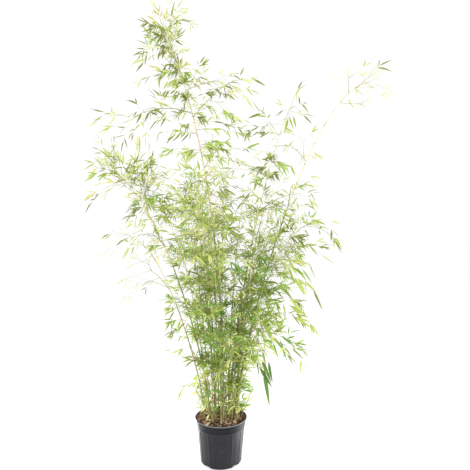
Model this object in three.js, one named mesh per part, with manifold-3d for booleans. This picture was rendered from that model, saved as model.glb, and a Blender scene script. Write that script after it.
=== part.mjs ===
// A clump of bamboo in a ribbed nursery pot. Millimetres, +Z up, origin at the centre of the pot's underside.
//
// Each culm (cane) is one tapering solid that starts at the potting mix and ends where its leafy tip begins.
// Each mass of foliage is one solid too: a stem that grows from a culm's side or carries on from its tip,
// twigs off that stem, and leaves whose roots are sunk in the twigs.
import * as THREE from "three";
import { mergeVertices } from "three/addons/utils/BufferGeometryUtils.js";
import Module from "manifold-3d";

const wasm = await Module();
wasm.setup();

const { Vector3 } = THREE;
const UP = new Vector3(0, 0, 1);
const GOLDEN_TURN = 137.5; // degrees round the pot from one culm of the clump to the next

// ---------------------------------------------------------------- driving dimensions

const GAP = 0.3; // between solids that meet
const CLEARANCE = 1; // between pieces of foliage that pass each other

const POT = {
  height: 227,
  rimRadius: 135, // outside of the rolled lip
  lipHeight: 6,
  lipWidth: 4.5,
  collarHeight: 44, // the stiff band under the lip
  collarRadius: 131.5, // just under the lip
  collarFootRadius: 124.5,
  wallTopRadius: 122,
  footRadius: 105.5, // where the wall meets the bottom corner
  cornerHeight: 7,
  baseRadius: 97,
  wall: 2.5,
  segments: 48,
  ribs: 12, // raised ribs between shallow panels
  panelDepth: 1.3,
  drains: 4, // notches through the bottom corner
  drainWidth: 42,
  drainHeight: 13,
  drainTurn: 3, // degrees
};

const MIX_TOP = 213; // the level of the potting mix

const CULM = {
  sides: 6,
  rings: 6,
  turn: 0,
  upright: 0.02, // share of the height that stands straight before the culm leans
  tipShare: 0.32, // radius at the tip over radius at the foot
  footFlare: 1.25, // the swollen lowest ring
};

const TWIG = {
  gap: 90, // along the stem, from one twig to the next
  fewest: 3,
  leaves: 4,
  first: 0.14, // share of the stem where the first twig leaves it
  last: 0.86,
  turns: [0, 180, 90, 270], // degrees round the stem, square to its faces
  spread: 46, // degrees between a twig and its stem
  radius: 2.1,
  sag: 0.16, // how far a twig's end hangs below the way it sets out, as a share of its length
  sides: 3,
  rings: 1,
  turn: 180, // one edge runs along below, so that leaves grow from flat faces
};

const STEM = { sides: 4, rings: 3, turn: 45, radius: 3.5, tipRadius: 3, leaves: 3 };

const LEAF = {
  length: 165,
  widthShare: 0.18,
  thicknessShare: 0.02,
  widest: 0.36, // share of the length from the root
  fan: 34, // degrees between a spray's first side leaf and its end leaf
  open: 8, // degrees more for each leaf further back
  droop: [0.1, 1.1], // how far a leaf hangs, added to its way
  roll: 60, // degrees its broad side may turn either way from facing up
  guard: 0.38, // radius kept clear round a leaf, over its width
  sunk: 1.5, // how far a leaf's root goes back past its twig's axis
  step: 15, // between the roots of one spray's leaves
};

// The culms that stand out of the clump. Angles in degrees, 0 towards +X and 90 towards +Y.
// height is measured from the mix, reach is how far the tip leans out, bow how late it leans, nod how far
// the tip flattens, and tipFrom the share of the culm where its leafy tip takes over.
// Each side is one leafy stem: where on the culm it grows, the azimuth it turns to, its length, its lift in
// degrees above the level, how far it sags as a share of its length, and the length of its twigs.
const TALL_CULMS = [
  {
    name: "leader",
    lean: 180, height: 2030, reach: 312, bow: 2.15, nod: 0.08, radius: 7.5, tipFrom: 0.87,
    foot: [14, -6], spray: 105,
    sides: [
      { at: 0.845, turn: 190, length: 190, lift: 52, sag: 0.1, spray: 100 },
      { at: 0.81, turn: 25, length: 200, lift: 30, sag: 0.1, spray: 95 },
      { at: 0.745, turn: 174, length: 390, lift: 24, sag: 0.5, spray: 90 },
      { at: 0.735, turn: -12, length: 330, lift: 50, sag: 0.25, spray: 90 },
      { at: 0.6, turn: 60, length: 240, lift: 50, sag: 0.2, spray: 120 },
    ],
  },
  {
    name: "right_inner",
    lean: 4, height: 1650, reach: 330, bow: 1.45, nod: 0.1, radius: 6.5, tipFrom: 0.84,
    foot: [44, 28], spray: 110,
    sides: [
      { at: 0.72, turn: 200, length: 230, lift: 30, sag: 0.2, spray: 110 },
      { at: 0.6, turn: -30, length: 260, lift: 40, sag: 0.3, spray: 110 },
    ],
  },
  {
    name: "right_outer",
    lean: -3, height: 1740, reach: 690, bow: 1.3, nod: 0.24, radius: 6.5, tipFrom: 0.8,
    foot: [76, -4], spray: 95,
    sides: [
      { at: 0.62, turn: 125, length: 250, lift: 50, sag: 0.3, spray: 100 },
      { at: 0.5, turn: -90, length: 260, lift: 48, sag: 0.4, spray: 110 },
    ],
  },
  {
    name: "left_outer",
    lean: 178, height: 1290, reach: 520, bow: 1.4, nod: 0.2, radius: 6.2, tipFrom: 0.78,
    foot: [-60, 18], spray: 115,
    sides: [
      { at: 0.72, turn: 110, length: 240, lift: 50, sag: 0.3, spray: 110 },
      { at: 0.58, turn: 250, length: 260, lift: 40, sag: 0.4, spray: 110 },
    ],
  },
  {
    name: "left_low",
    lean: 186, height: 960, reach: 400, bow: 1.35, nod: 0.24, radius: 5.4, tipFrom: 0.74,
    foot: [-82, -18], spray: 105,
    sides: [{ at: 0.55, turn: 150, length: 230, lift: 50, sag: 0.3, spray: 105 }],
  },
  {
    name: "right_low",
    lean: -8, height: 1010, reach: 380, bow: 1.5, nod: 0.25, radius: 5.2, tipFrom: 0.7,
    foot: [84, -30], spray: 115,
    sides: [{ at: 0.34, turn: -60, length: 230, lift: 40, sag: 0.6, spray: 110 }],
  },
];

// The rest of the clump: shorter culms dealt out round the pot.
const CLUMP = {
  count: 12,
  firstLean: 82,
  footReach: 88, // how far from the middle of the pot the outermost foot stands
  height: [900, 1240],
  reach: [90, 300],
  bow: 1.6,
  nod: 0.18,
  radius: [4.6, 6],
  tipFrom: 0.56,
  spray: 100,
  sideEvery: 4, // of each four culms, the last has no side stem
  sideAt: [0.07, 0.36],
  sideLength: [260, 340],
  sideLift: 72,
  sideSag: 0.15,
  seed: 31,
};

const COLOURS = {
  pot: { color: 0x3f3f44, roughness: 0.5 },
  mix: { color: 0x5a4632, roughness: 1 },
  culm: { color: 0x9aa64e, roughness: 0.5 },
  foliage: { color: 0x8fb84a, roughness: 0.6 },
};

// ---------------------------------------------------------------- small helpers

const radians = (degrees) => (degrees * Math.PI) / 180;
const mix = (low, high, share) => low + (high - low) * share;
const levelWay = (azimuth) => new Vector3(Math.cos(radians(azimuth)), Math.sin(radians(azimuth)), 0);

// Seeded numbers from 0 to 1, the same on every run.
function seeded(seed) {
  let state = seed >>> 0;
  return () => {
    state = (state + 0x6d2b79f5) >>> 0;
    let t = state;
    t = Math.imul(t ^ (t >>> 15), t | 1);
    t ^= t + Math.imul(t ^ (t >>> 7), t | 61);
    return ((t ^ (t >>> 14)) >>> 0) / 4294967296;
  };
}

// A closed three.js geometry as a solid that can be joined and cut.
function solidOf(geometry) {
  const bare = geometry.clone();
  bare.deleteAttribute("normal");
  bare.deleteAttribute("uv");
  const merged = mergeVertices(bare, 1e-4);
  return new wasm.Manifold(
    new wasm.Mesh({
      numProp: 3,
      vertProperties: merged.attributes.position.array,
      triVerts: new Uint32Array(merged.index.array),
    }),
  );
}

function geometryOf(solid) {
  const { vertProperties, triVerts } = solid.getMesh();
  const geometry = new THREE.BufferGeometry();
  geometry.setAttribute("position", new THREE.BufferAttribute(vertProperties, 3));
  geometry.setIndex(new THREE.BufferAttribute(triVerts, 1));
  geometry.computeVertexNormals();
  return geometry;
}

function named(name, geometry, finish) {
  const mesh = new THREE.Mesh(geometry, new THREE.MeshStandardMaterial({ metalness: 0, ...finish }));
  mesh.name = name;
  return mesh;
}

// The way a curve runs at s, from two points close by.
function wayAt(curve, s) {
  const step = 0.01;
  return curve(Math.min(1, s + step)).sub(curve(Math.max(0, s - step))).normalize();
}

// The level direction square to a curve that bends in an upright plane.
function acrossOf(curve) {
  return new Vector3().crossVectors(curve(1).sub(curve(0)), UP).normalize();
}

// A tapering limb along a curve: a cylinder whose rings are laid across the curve. turn is in degrees.
function limbGeometry(curve, radiusAt, { sides, rings, turn }) {
  const geometry = new THREE.CylinderGeometry(1, 1, 1, sides, rings, false, radians(turn));
  const place = geometry.attributes.position;
  const across = acrossOf(curve);
  const vertex = new Vector3();
  for (let i = 0; i < place.count; i += 1) {
    vertex.fromBufferAttribute(place, i);
    const s = vertex.y + 0.5;
    const radius = radiusAt(s);
    const over = new Vector3().crossVectors(across, wayAt(curve, s)).normalize();
    const put = curve(s).addScaledVector(across, vertex.x * radius).addScaledVector(over, vertex.z * radius);
    place.setXYZ(i, put.x, put.y, put.z);
  }
  return geometry;
}

// A limb is straight from ring to ring. This is its solid's middle at s, so what grows there is well sunk.
function middleOf(curve, rings, s) {
  const below = Math.min(rings - 1, Math.floor(s * rings));
  return curve(below / rings).lerp(curve((below + 1) / rings), s * rings - below);
}

// ---------------------------------------------------------------- keeping pieces apart

// The shortest distance between the stretches a-b and c-d.
function stretchDistance(a, b, c, d) {
  const u = b.clone().sub(a);
  const v = d.clone().sub(c);
  const w = a.clone().sub(c);
  const uu = u.dot(u);
  const uv = u.dot(v);
  const vv = v.dot(v);
  const uw = u.dot(w);
  const vw = v.dot(w);
  const spread = uu * vv - uv * uv;
  const clamp = (x) => Math.min(1, Math.max(0, x));
  let s = spread > 1e-9 ? clamp((uv * vw - vv * uw) / spread) : 0;
  const t = clamp((uv * s + vw) / vv);
  s = clamp((uv * t - uw) / uu);
  return w.addScaledVector(u, s).addScaledVector(v, -t).length();
}

// Every stretch of limb, twig or leaf so far. The stretches of one group may touch each other.
const laid = [];

function isClear(stretch, groups) {
  return laid.every(
    (piece) =>
      groups.includes(piece.group) ||
      stretchDistance(stretch.a, stretch.b, piece.a, piece.b) >
        stretch.radius + piece.radius + CLEARANCE,
  );
}

// A curve cut into straight stretches, each with its own radius.
function stretchesOf(curve, radiusAt, count, group) {
  return Array.from({ length: count }, (_, i) => ({
    a: curve(i / count),
    b: curve((i + 1) / count),
    radius: radiusAt(i / count),
    group,
  }));
}

// ---------------------------------------------------------------- pot and potting mix

// Lathe points are (radius, height). The profile runs up the outside, over the lip and down the inside.
function potProfile() {
  const lipFoot = POT.height - POT.lipHeight;
  const collarFoot = POT.height - POT.collarHeight;
  const inner = (radius) => radius - POT.wall;
  return [
    [0, 0],
    [POT.baseRadius, 0],
    [POT.footRadius, POT.cornerHeight],
    [POT.wallTopRadius, collarFoot - 3],
    [POT.collarFootRadius, collarFoot],
    [POT.collarRadius, lipFoot],
    [POT.rimRadius, lipFoot],
    [POT.rimRadius, POT.height],
    [POT.rimRadius - POT.lipWidth, POT.height],
    [inner(POT.collarFootRadius), collarFoot],
    [inner(POT.wallTopRadius) - POT.panelDepth, collarFoot - 4],
    [inner(POT.footRadius) - POT.panelDepth, POT.cornerHeight + 2],
    [POT.baseRadius - 3, POT.wall],
    [0, POT.wall],
  ].map(([radius, height]) => new THREE.Vector2(radius, height));
}

// Presses the shallow panels into the outer wall and leaves the ribs between them.
function pressPanels(geometry) {
  const place = geometry.attributes.position;
  const collarFoot = POT.height - POT.collarHeight;
  for (let i = 0; i < place.count; i += 1) {
    const [x, height, z] = [place.getX(i), place.getY(i), place.getZ(i)];
    const radius = Math.hypot(x, z);
    const share = (height - POT.cornerHeight) / (collarFoot - POT.cornerHeight);
    const outerWall = mix(POT.footRadius, POT.wallTopRadius, share);
    const onWall = share > 0.02 && share < 0.99 && Math.abs(radius - outerWall) < POT.wall / 2;
    const step = Math.round((Math.atan2(x, z) / (2 * Math.PI)) * POT.segments);
    const onRib = step % (POT.segments / POT.ribs) === 0;
    if (onWall && !onRib) {
      const pressed = (radius - POT.panelDepth) / radius;
      place.setXYZ(i, x * pressed, height, z * pressed);
    }
  }
  return geometry;
}

function potGeometry() {
  const shell = pressPanels(new THREE.LatheGeometry(potProfile(), POT.segments));
  let pot = solidOf(shell.rotateX(Math.PI / 2));
  const reach = POT.footRadius - POT.baseRadius + 10;
  for (let k = 0; k < POT.drains; k += 1) {
    const drain = new THREE.BoxGeometry(POT.drainWidth, 2 * reach, 2 * POT.drainHeight);
    drain.translate(0, POT.baseRadius - 6 + reach, 0);
    drain.rotateZ(radians(POT.drainTurn + (360 / POT.drains) * (k + 0.5)));
    pot = pot.subtract(solidOf(drain));
  }
  return geometryOf(pot);
}

function potMixGeometry() {
  const collarFoot = POT.height - POT.collarHeight;
  const inner = (radius) => radius - POT.wall - POT.panelDepth - GAP;
  const profile = [
    [0, POT.wall + GAP],
    [POT.baseRadius - 4, POT.wall + GAP],
    [inner(POT.footRadius), POT.cornerHeight + 4],
    [inner(POT.wallTopRadius), collarFoot - 4],
    [inner(POT.collarFootRadius), MIX_TOP],
    [0, MIX_TOP],
  ].map(([radius, height]) => new THREE.Vector2(radius, height));
  return new THREE.LatheGeometry(profile, POT.segments).rotateX(Math.PI / 2);
}

// ---------------------------------------------------------------- culms

// A culm's curve, s from 0 at the foot to 1 at the very tip.
function culmCurve(culm) {
  const way = levelWay(culm.lean);
  const leaned = (s) => Math.max(0, s - CULM.upright) / (1 - CULM.upright);
  return (s) =>
    new Vector3(culm.foot[0], culm.foot[1], MIX_TOP + GAP)
      .addScaledVector(way, culm.reach * leaned(s) ** culm.bow)
      .addScaledVector(UP, (culm.height * (s - culm.nod * s ** 4)) / (1 - culm.nod));
}

const culmRadius = (culm, s) => culm.radius * mix(1, CULM.tipShare, s);

// The shorter culms, dealt out by the golden turn with seeded heights and leans.
function clumpCulms() {
  const draw = seeded(CLUMP.seed);
  return Array.from({ length: CLUMP.count }, (_, i) => {
    const lean = CLUMP.firstLean + i * GOLDEN_TURN;
    const footOut = CLUMP.footReach * Math.sqrt((i + 0.5) / CLUMP.count);
    const foot = levelWay(lean).multiplyScalar(footOut);
    const culm = {
      name: `clump_${String(i + 1).padStart(2, "0")}`,
      lean: lean + mix(-20, 20, draw()),
      height: mix(...CLUMP.height, draw()),
      reach: mix(...CLUMP.reach, mix(footOut / CLUMP.footReach, draw(), 0.5)),
      bow: CLUMP.bow,
      nod: CLUMP.nod,
      radius: mix(...CLUMP.radius, draw()),
      tipFrom: CLUMP.tipFrom,
      foot: [foot.x, foot.y],
      spray: CLUMP.spray,
    };
    const side = {
      at: mix(...CLUMP.sideAt, draw()),
      turn: culm.lean + mix(-75, 75, draw()),
      length: mix(...CLUMP.sideLength, draw()),
      lift: CLUMP.sideLift,
      sag: CLUMP.sideSag,
      spray: CLUMP.spray,
    };
    return { ...culm, sides: (i + 1) % CLUMP.sideEvery ? [side] : [] };
  });
}

// The part of a culm that shows below its leafy tip.
function shownCulm(culm) {
  const curve = culmCurve(culm);
  return {
    curve: (s) => curve(s * culm.tipFrom),
    radiusAt: (s) => culmRadius(culm, s * culm.tipFrom) * (s === 0 ? CULM.footFlare : 1),
  };
}

const culmSolid = ({ curve, radiusAt }) => solidOf(limbGeometry(curve, radiusAt, CULM));

// A culm grown by the gap, to cut the roots of its side stems with.
function grownCulm(culm) {
  const { curve, radiusAt } = shownCulm(culm);
  const grown = GAP / Math.cos(Math.PI / CULM.sides);
  return culmSolid({ curve, radiusAt: (s) => radiusAt(s) + grown });
}

// ---------------------------------------------------------------- foliage

// The stem that carries on from a culm's cut tip.
function tipStem(culm) {
  const curve = culmCurve(culm);
  const step = 0.001;
  const pace = curve(culm.tipFrom + step).distanceTo(curve(culm.tipFrom)) / step;
  const start = culm.tipFrom + GAP / pace;
  return {
    curve: (s) => curve(mix(start, 1, s)),
    radiusAt: (s) => Math.max(STEM.tipRadius, culmRadius(culm, mix(start, 1, s))),
    length: culm.height * (1 - culm.tipFrom),
    spray: culm.spray,
  };
}

// A stem that starts in a culm's middle, rises and then sags outwards.
function sideStem(culm, side) {
  const lift = radians(side.lift);
  const way = levelWay(side.turn).multiplyScalar(Math.cos(lift)).addScaledVector(UP, Math.sin(lift));
  const root = middleOf(shownCulm(culm).curve, CULM.rings, side.at / culm.tipFrom);
  return {
    curve: (s) =>
      root
        .clone()
        .addScaledVector(way, side.length * s)
        .addScaledVector(UP, -side.length * side.sag * s * s),
    radiusAt: (s) => mix(STEM.radius, STEM.tipRadius, s),
    length: side.length,
    spray: side.spray,
  };
}

// A straight twig: away from the stem at the spread angle, turned round it, a little lowered.
function twigCurve(stem, s, turn, length) {
  const way = wayAt(stem.curve, s);
  const out = acrossOf(stem.curve).applyAxisAngle(way, radians(turn));
  const spread = radians(TWIG.spread);
  const heading = way
    .multiplyScalar(Math.cos(spread))
    .addScaledVector(out, Math.sin(spread))
    .addScaledVector(UP, -TWIG.sag)
    .normalize();
  const root = middleOf(stem.curve, STEM.rings, s);
  return (u) => root.clone().addScaledVector(heading, length * u);
}

// One leaf: an eight-faced blade from its root, pointing along way, rolled from facing up.
function leafGeometry({ root, way, length, roll }) {
  const blade = new THREE.OctahedronGeometry(1);
  const place = blade.attributes.position;
  for (let i = 0; i < place.count; i += 1) {
    const end = place.getX(i);
    const along = Math.abs(end) > 0.5 ? (end + 1) / 2 : LEAF.widest;
    place.setXYZ(
      i,
      along * length,
      (place.getY(i) * length * LEAF.widthShare) / 2,
      (place.getZ(i) * length * LEAF.thicknessShare) / 2,
    );
  }
  const across = new Vector3().crossVectors(UP, way).normalize().applyAxisAngle(way, roll);
  const facing = new Vector3().crossVectors(way, across);
  return blade.applyMatrix4(new THREE.Matrix4().makeBasis(way, across, facing).setPosition(root));
}

// A spray's leaves on a twig: the end leaf, then one to each hand, a step further back each time.
function sprayLeaves(twig, length, count, draw) {
  const end = wayAt(twig, 1);
  const facing = new Vector3().crossVectors(acrossOf(twig), end);
  return Array.from({ length: count }, (_, i) => {
    const hand = i === 0 ? 0 : (i % 2) * 2 - 1;
    const way = end
      .clone()
      .applyAxisAngle(facing, hand * radians(LEAF.fan + LEAF.open * (i - 1)))
      .addScaledVector(UP, -mix(...LEAF.droop, draw()))
      .normalize();
    const axis = twig(1 - (i * LEAF.step) / length);
    return {
      root: axis.addScaledVector(way, -LEAF.sunk),
      way,
      length: LEAF.length * mix(0.8, 1.1, draw()),
      roll: radians(mix(-LEAF.roll, LEAF.roll, draw())),
    };
  });
}

// Grows one mass of foliage as a single solid and lays its pieces down as taken.
function foliageSolid({ name, stem, culmClear }, seed) {
  const draw = seeded(seed);
  const solids = [solidOf(limbGeometry(stem.curve, stem.radiusAt, STEM)).simplify(1e-3)];

  const addSpray = (twig, length, count, group) => {
    for (const leaf of sprayLeaves(twig, length, count, draw)) {
      const point = (share) => leaf.root.clone().addScaledVector(leaf.way, leaf.length * share);
      const radius = leaf.length * LEAF.widthShare * LEAF.guard;
      const stretch = { a: point(0.12), b: point(0.95), radius, group };
      if (!isClear(stretch, [group])) continue;
      solids.push(solidOf(leafGeometry(leaf)));
      laid.push(stretch);
    }
  };

  const count = Math.max(TWIG.fewest, Math.round(stem.length / TWIG.gap));
  for (let k = 0; k < count; k += 1) {
    const s = mix(TWIG.first, TWIG.last, k / (count - 1));
    const turn = TWIG.turns[(k + seed) % TWIG.turns.length] + mix(-12, 12, draw());
    const length = stem.spray * mix(0.75, 1.2, draw()) * mix(1.15, 0.7, s);
    const twig = twigCurve(stem, s, turn, length);
    const group = `${name} twig ${k}`;
    const stretches = stretchesOf(twig, () => TWIG.radius, 2, group);
    if (!stretches.every((stretch) => isClear(stretch, [name]))) continue;
    solids.push(solidOf(limbGeometry(twig, () => TWIG.radius, TWIG)).simplify(1e-3));
    laid.push(...stretches);
    addSpray(twig, length, TWIG.leaves, group);
  }
  addSpray((s) => middleOf(stem.curve, STEM.rings, s), stem.length, STEM.leaves, name);

  // Fused, cut clear of the culm, and with any scrap that missed the stem dropped.
  const bodies = wasm.Manifold.union(solids).subtract(culmClear).decompose();
  return bodies.reduce((best, body) => (body.volume() > best.volume() ? body : best));
}

// ---------------------------------------------------------------- the plant

const plant = new THREE.Group();
plant.name = "potted_bamboo";
plant.add(named("pot", potGeometry(), COLOURS.pot));
plant.add(named("potting_mix", potMixGeometry(), COLOURS.mix));

const culms = [...TALL_CULMS, ...clumpCulms()];
for (const culm of culms) {
  const name = `culm_${culm.name}`;
  const shown = shownCulm(culm);
  plant.add(named(name, geometryOf(culmSolid(shown)), COLOURS.culm));
  laid.push(...stretchesOf(shown.curve, shown.radiusAt, CULM.rings, name));
}

// Every stem is laid before any twig, so that no mass grows across another's stem.
const masses = culms.flatMap((culm) => {
  const culmClear = grownCulm(culm);
  const tip = { name: `foliage_${culm.name}_tip`, stem: tipStem(culm), culmClear };
  const sides = culm.sides.map((side, k) => ({
    name: `foliage_${culm.name}_side_${k + 1}`,
    stem: sideStem(culm, side),
    culmClear,
  }));
  return [tip, ...sides];
});
for (const { name, stem } of masses)
  laid.push(...stretchesOf(stem.curve, stem.radiusAt, STEM.rings, name));

masses.forEach((mass, i) => {
  plant.add(named(mass.name, geometryOf(foliageSolid(mass, i + 1)), COLOURS.foliage));
});

export default plant;
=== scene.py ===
# %% [markdown]
# # A clump of bamboo in a nursery pot
#
# The plant stands in a black moulded pot: eighteen canes, called culms, rise from the potting mix, lean
# outwards and end in arching leafy tips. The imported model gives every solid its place. This lesson dresses
# it, one piece at a time: camera and light, finishes, the rule that grows the plant, canes, twigs, leaves,
# pot and potting mix.

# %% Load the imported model
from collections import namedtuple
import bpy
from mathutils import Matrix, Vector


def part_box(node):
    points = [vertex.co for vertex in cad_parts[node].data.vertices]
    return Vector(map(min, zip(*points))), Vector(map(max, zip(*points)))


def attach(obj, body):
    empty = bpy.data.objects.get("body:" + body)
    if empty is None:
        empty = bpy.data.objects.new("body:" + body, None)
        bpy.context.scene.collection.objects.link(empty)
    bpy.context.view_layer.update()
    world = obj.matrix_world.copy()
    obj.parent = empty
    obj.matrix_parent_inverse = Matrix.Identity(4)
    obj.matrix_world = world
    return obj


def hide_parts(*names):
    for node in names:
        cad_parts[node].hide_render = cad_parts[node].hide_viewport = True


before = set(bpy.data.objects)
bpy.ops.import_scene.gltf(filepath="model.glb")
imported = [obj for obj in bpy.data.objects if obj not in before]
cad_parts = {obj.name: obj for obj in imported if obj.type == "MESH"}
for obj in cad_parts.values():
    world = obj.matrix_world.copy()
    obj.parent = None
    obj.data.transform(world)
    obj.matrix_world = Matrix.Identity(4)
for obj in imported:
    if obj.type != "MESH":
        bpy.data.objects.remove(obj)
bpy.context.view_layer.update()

# %% Libraries, and the box that the solids fill
from fnmatch import fnmatch
from math import cos, floor, pi, radians, sin

import bmesh
import bpy
import numpy as np
from mathutils import Matrix, Vector, noise

MM = 0.001  # the growing rule counts in millimetres, Blender in metres
pot_low, pot_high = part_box("pot")
mix_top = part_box("potting_mix")[1][2] / MM

# %% [markdown]
# ## Camera, light and floor
#
# A plant this tall is looked at from a little over two metres away, level, from half its height, so the
# near leaves loom and the pot is seen slightly from above. The light is high key: a white room all round
# and two broad soft lamps, with a small strip of light to each side of the pot, whose black wall would
# show no shape without it. One hard lamp would draw every leaf's shadow on the next and turn the crown to
# noise, so soft light from all sides suits fine foliage better.

# %% The camera
EYE = Vector((0.073, -2.245, 1.17))
LENS, SENSOR_WIDTH = 33.0, 36.0  # millimetres

camera_data = bpy.data.cameras.new("camera")
camera_data.lens = LENS
camera_data.sensor_width = SENSOR_WIDTH
camera = bpy.data.objects.new("camera", camera_data)
camera.location = EYE
camera.rotation_euler = (radians(90), 0, 0)
bpy.context.collection.objects.link(camera)
scene = bpy.context.scene
scene.camera = camera
scene.view_settings.view_transform = "Standard"
print("camera at", tuple(round(value, 3) for value in EYE))

# %% The white room and the lamps
ROOM_STRENGTH = 1.06

world = bpy.data.worlds.new("white_room")
world.use_nodes = True
background = world.node_tree.nodes["Background"]
background.inputs["Color"].default_value = (1.0, 1.0, 1.0, 1.0)
background.inputs["Strength"].default_value = ROOM_STRENGTH
scene.world = world


def soft_lamp(name, place, aim, size, watts, height=None):
    """A disc of light, or an upright strip where a height is given. The camera doesn't see it."""
    lamp = bpy.data.lights.new(name, "AREA")
    lamp.shape = "RECTANGLE" if height else "DISK"
    lamp.size = size
    lamp.size_y = height or size
    lamp.energy = watts
    holder = bpy.data.objects.new(name, lamp)
    holder.location = place
    holder.rotation_euler = (Vector(aim) - Vector(place)).to_track_quat("-Z", "Y").to_euler()
    holder.visible_camera = False
    bpy.context.collection.objects.link(holder)


soft_lamp("key_lamp", (-1.9, -2.6, 3.6), (0, 0, 1.1), 2.4, 130)
soft_lamp("fill_lamp", (2.6, -1.6, 2.4), (0, 0, 1.0), 2.6, 40)
soft_lamp("left_strip", (-0.5, 0.38, 0.13), (0, 0, 0.1), 0.05, 4.0, height=0.22)
soft_lamp("right_strip", (0.55, 0.0, 0.13), (0, 0, 0.1), 0.05, 3.0, height=0.22)
print("lamps:", [light.name for light in bpy.data.lights])

# %% [markdown]
# ## Finishes
#
# Each finish starts from what the real surface is and how it was made. Two small helpers do most of the
# work: one turns a screen colour to the linear numbers that the shader wants, and one adds a node with its
# settings and links. A pattern's scale is worked out from a real size in millimetres.

# %% Colours and nodes
def linear(hex_colour):
    """A screen colour such as #8fb84a as linear red, green, blue and alpha."""
    shares = [int(hex_colour[i : i + 2], 16) / 255 for i in (1, 3, 5)]
    return (*[s / 12.92 if s <= 0.04045 else ((s + 0.055) / 1.055) ** 2.4 for s in shares], 1.0)


def fill(material, node, inputs):
    """Fills a node's sockets with values or with links from other nodes."""
    for socket, value in inputs.items():
        if isinstance(value, bpy.types.NodeSocket):
            material.node_tree.links.new(value, node.inputs[socket])
        else:
            node.inputs[socket].default_value = value


def add_node(material, kind, inputs=None, stops=(), **settings):
    """Adds a node, sets its properties, fills its sockets, and gives a ramp its (place, colour) stops."""
    node = material.node_tree.nodes.new(kind)
    for name, value in settings.items():
        setattr(node, name, value)
    fill(material, node, inputs or {})
    if stops:
        elements = node.color_ramp.elements
        for k in (0, -1):
            elements[k].position, elements[k].color = stops[k][0], linear(stops[k][1])
        for place, colour in stops[1:-1]:
            elements.new(place).color = linear(colour)
    return node


def new_finish(name):
    """A new material and its Principled shader."""
    material = bpy.data.materials.new(name)
    material.use_nodes = True
    return material, material.node_tree.nodes["Principled BSDF"]


def per_metre(millimetres):
    """A noise texture's scale for features this many millimetres across."""
    return 1 / (millimetres * MM)


print("mid green as linear:", [round(value, 3) for value in linear("#8fb84a")])

# %% [markdown]
# ### Leaf
#
# A bamboo leaf is a thin blade with fine parallel veins. It reflects a soft satin light and lets part of the
# light through, which is why a backlit spray glows. A Principled shader mixed with a Translucent one gives
# both. New sprays are yellow-green, older ones a deeper green, and a few turn golden. The palest tint is a
# painted highlight: it makes sprays, most of all at the far tips, look washed out by strong light. Those
# tints belong to a whole spray at a time, so each is a plain base colour dealt out by spray, not a pattern.

# %% Leaf finishes
LEAF_TINTS = {
    "fresh": "#cccf80",
    "bright": "#b4c466",
    "mid": "#9fb852",
    "olive": "#848f48",
    "deep": "#77a242",
    "dark": "#5a7c34",
    "golden": "#c9c586",
    # pale is a painted highlight: leaves washed out by strong light, dealt mostly to the far tips
    "pale": "#dce2bd",
}
VEIN_SPACING = 1.52  # mm; the real veins are closer, drawn this coarse so that they show
USUAL_BLADE = 6.72  # mm wide, over which the UV map runs from 0 to 1
BAND = 2 * pi / 20  # the width of one band of a wave texture at a scale of 1
THROUGH = 0.44  # the translucent shader's share in the mix


def leaf_finish(name, colour):
    material, surface = new_finish(name)
    place = add_node(material, "ShaderNodeUVMap")
    veins = add_node(material, "ShaderNodeTexWave",
                     {"Vector": place.outputs["UV"], "Scale": BAND * USUAL_BLADE / VEIN_SPACING,
                      "Distortion": 0.4}, bands_direction="X")
    relief = add_node(material, "ShaderNodeBump",
                      {"Height": veins.outputs["Fac"], "Strength": 0.25, "Distance": 0.0002})
    fill(material, surface, {"Base Color": linear(colour), "Roughness": 0.48, "IOR": 1.45,
                             "Normal": relief.outputs["Normal"]})
    through = add_node(material, "ShaderNodeBsdfTranslucent", {"Color": linear(colour)})
    both = add_node(material, "ShaderNodeMixShader",
                    {0: THROUGH, 1: surface.outputs["BSDF"], 2: through.outputs["BSDF"]})
    fill(material, material.node_tree.nodes["Material Output"], {"Surface": both.outputs["Shader"]})
    return material


leaf_finishes = {tint: leaf_finish(f"bamboo_leaf_{tint}", colour) for tint, colour in LEAF_TINTS.items()}
print("leaf finishes:", list(leaf_finishes))

# %% [markdown]
# ### Cane, sheath and twig
#
# A living cane is smooth and waxy, yellow-green, and ripens to straw low down. Papery sheaths, dry and
# straw-coloured, still wrap the lower part of many joints. The young upper parts are paler, the leader's a
# warm tan. Fine fibres run along it. The canes' pattern reads Object coordinates, stretched along Z,
# because every cane stands nearly upright.

# %% Cane finishes
FIBRE = 1.6  # mm across, stretched 20 times along the cane


def fibrous_finish(name, stops, roughness, size=FIBRE, stretch=20):
    material, surface = new_finish(name)
    place = add_node(material, "ShaderNodeTexCoord")
    long_way = add_node(material, "ShaderNodeMapping",
                        {"Vector": place.outputs["Object"], "Scale": (1, 1, 1 / stretch)})
    fibres = add_node(material, "ShaderNodeTexNoise",
                      {"Vector": long_way.outputs["Vector"], "Scale": per_metre(size), "Detail": 3.0})
    tones = add_node(material, "ShaderNodeValToRGB", {"Fac": fibres.outputs["Fac"]}, stops)
    relief = add_node(material, "ShaderNodeBump",
                      {"Height": fibres.outputs["Fac"], "Strength": 0.5, "Distance": 0.0002})
    fill(material, surface, {"Base Color": tones.outputs["Color"], "Roughness": roughness, "IOR": 1.47,
                             "Normal": relief.outputs["Normal"]})
    return material


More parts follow.
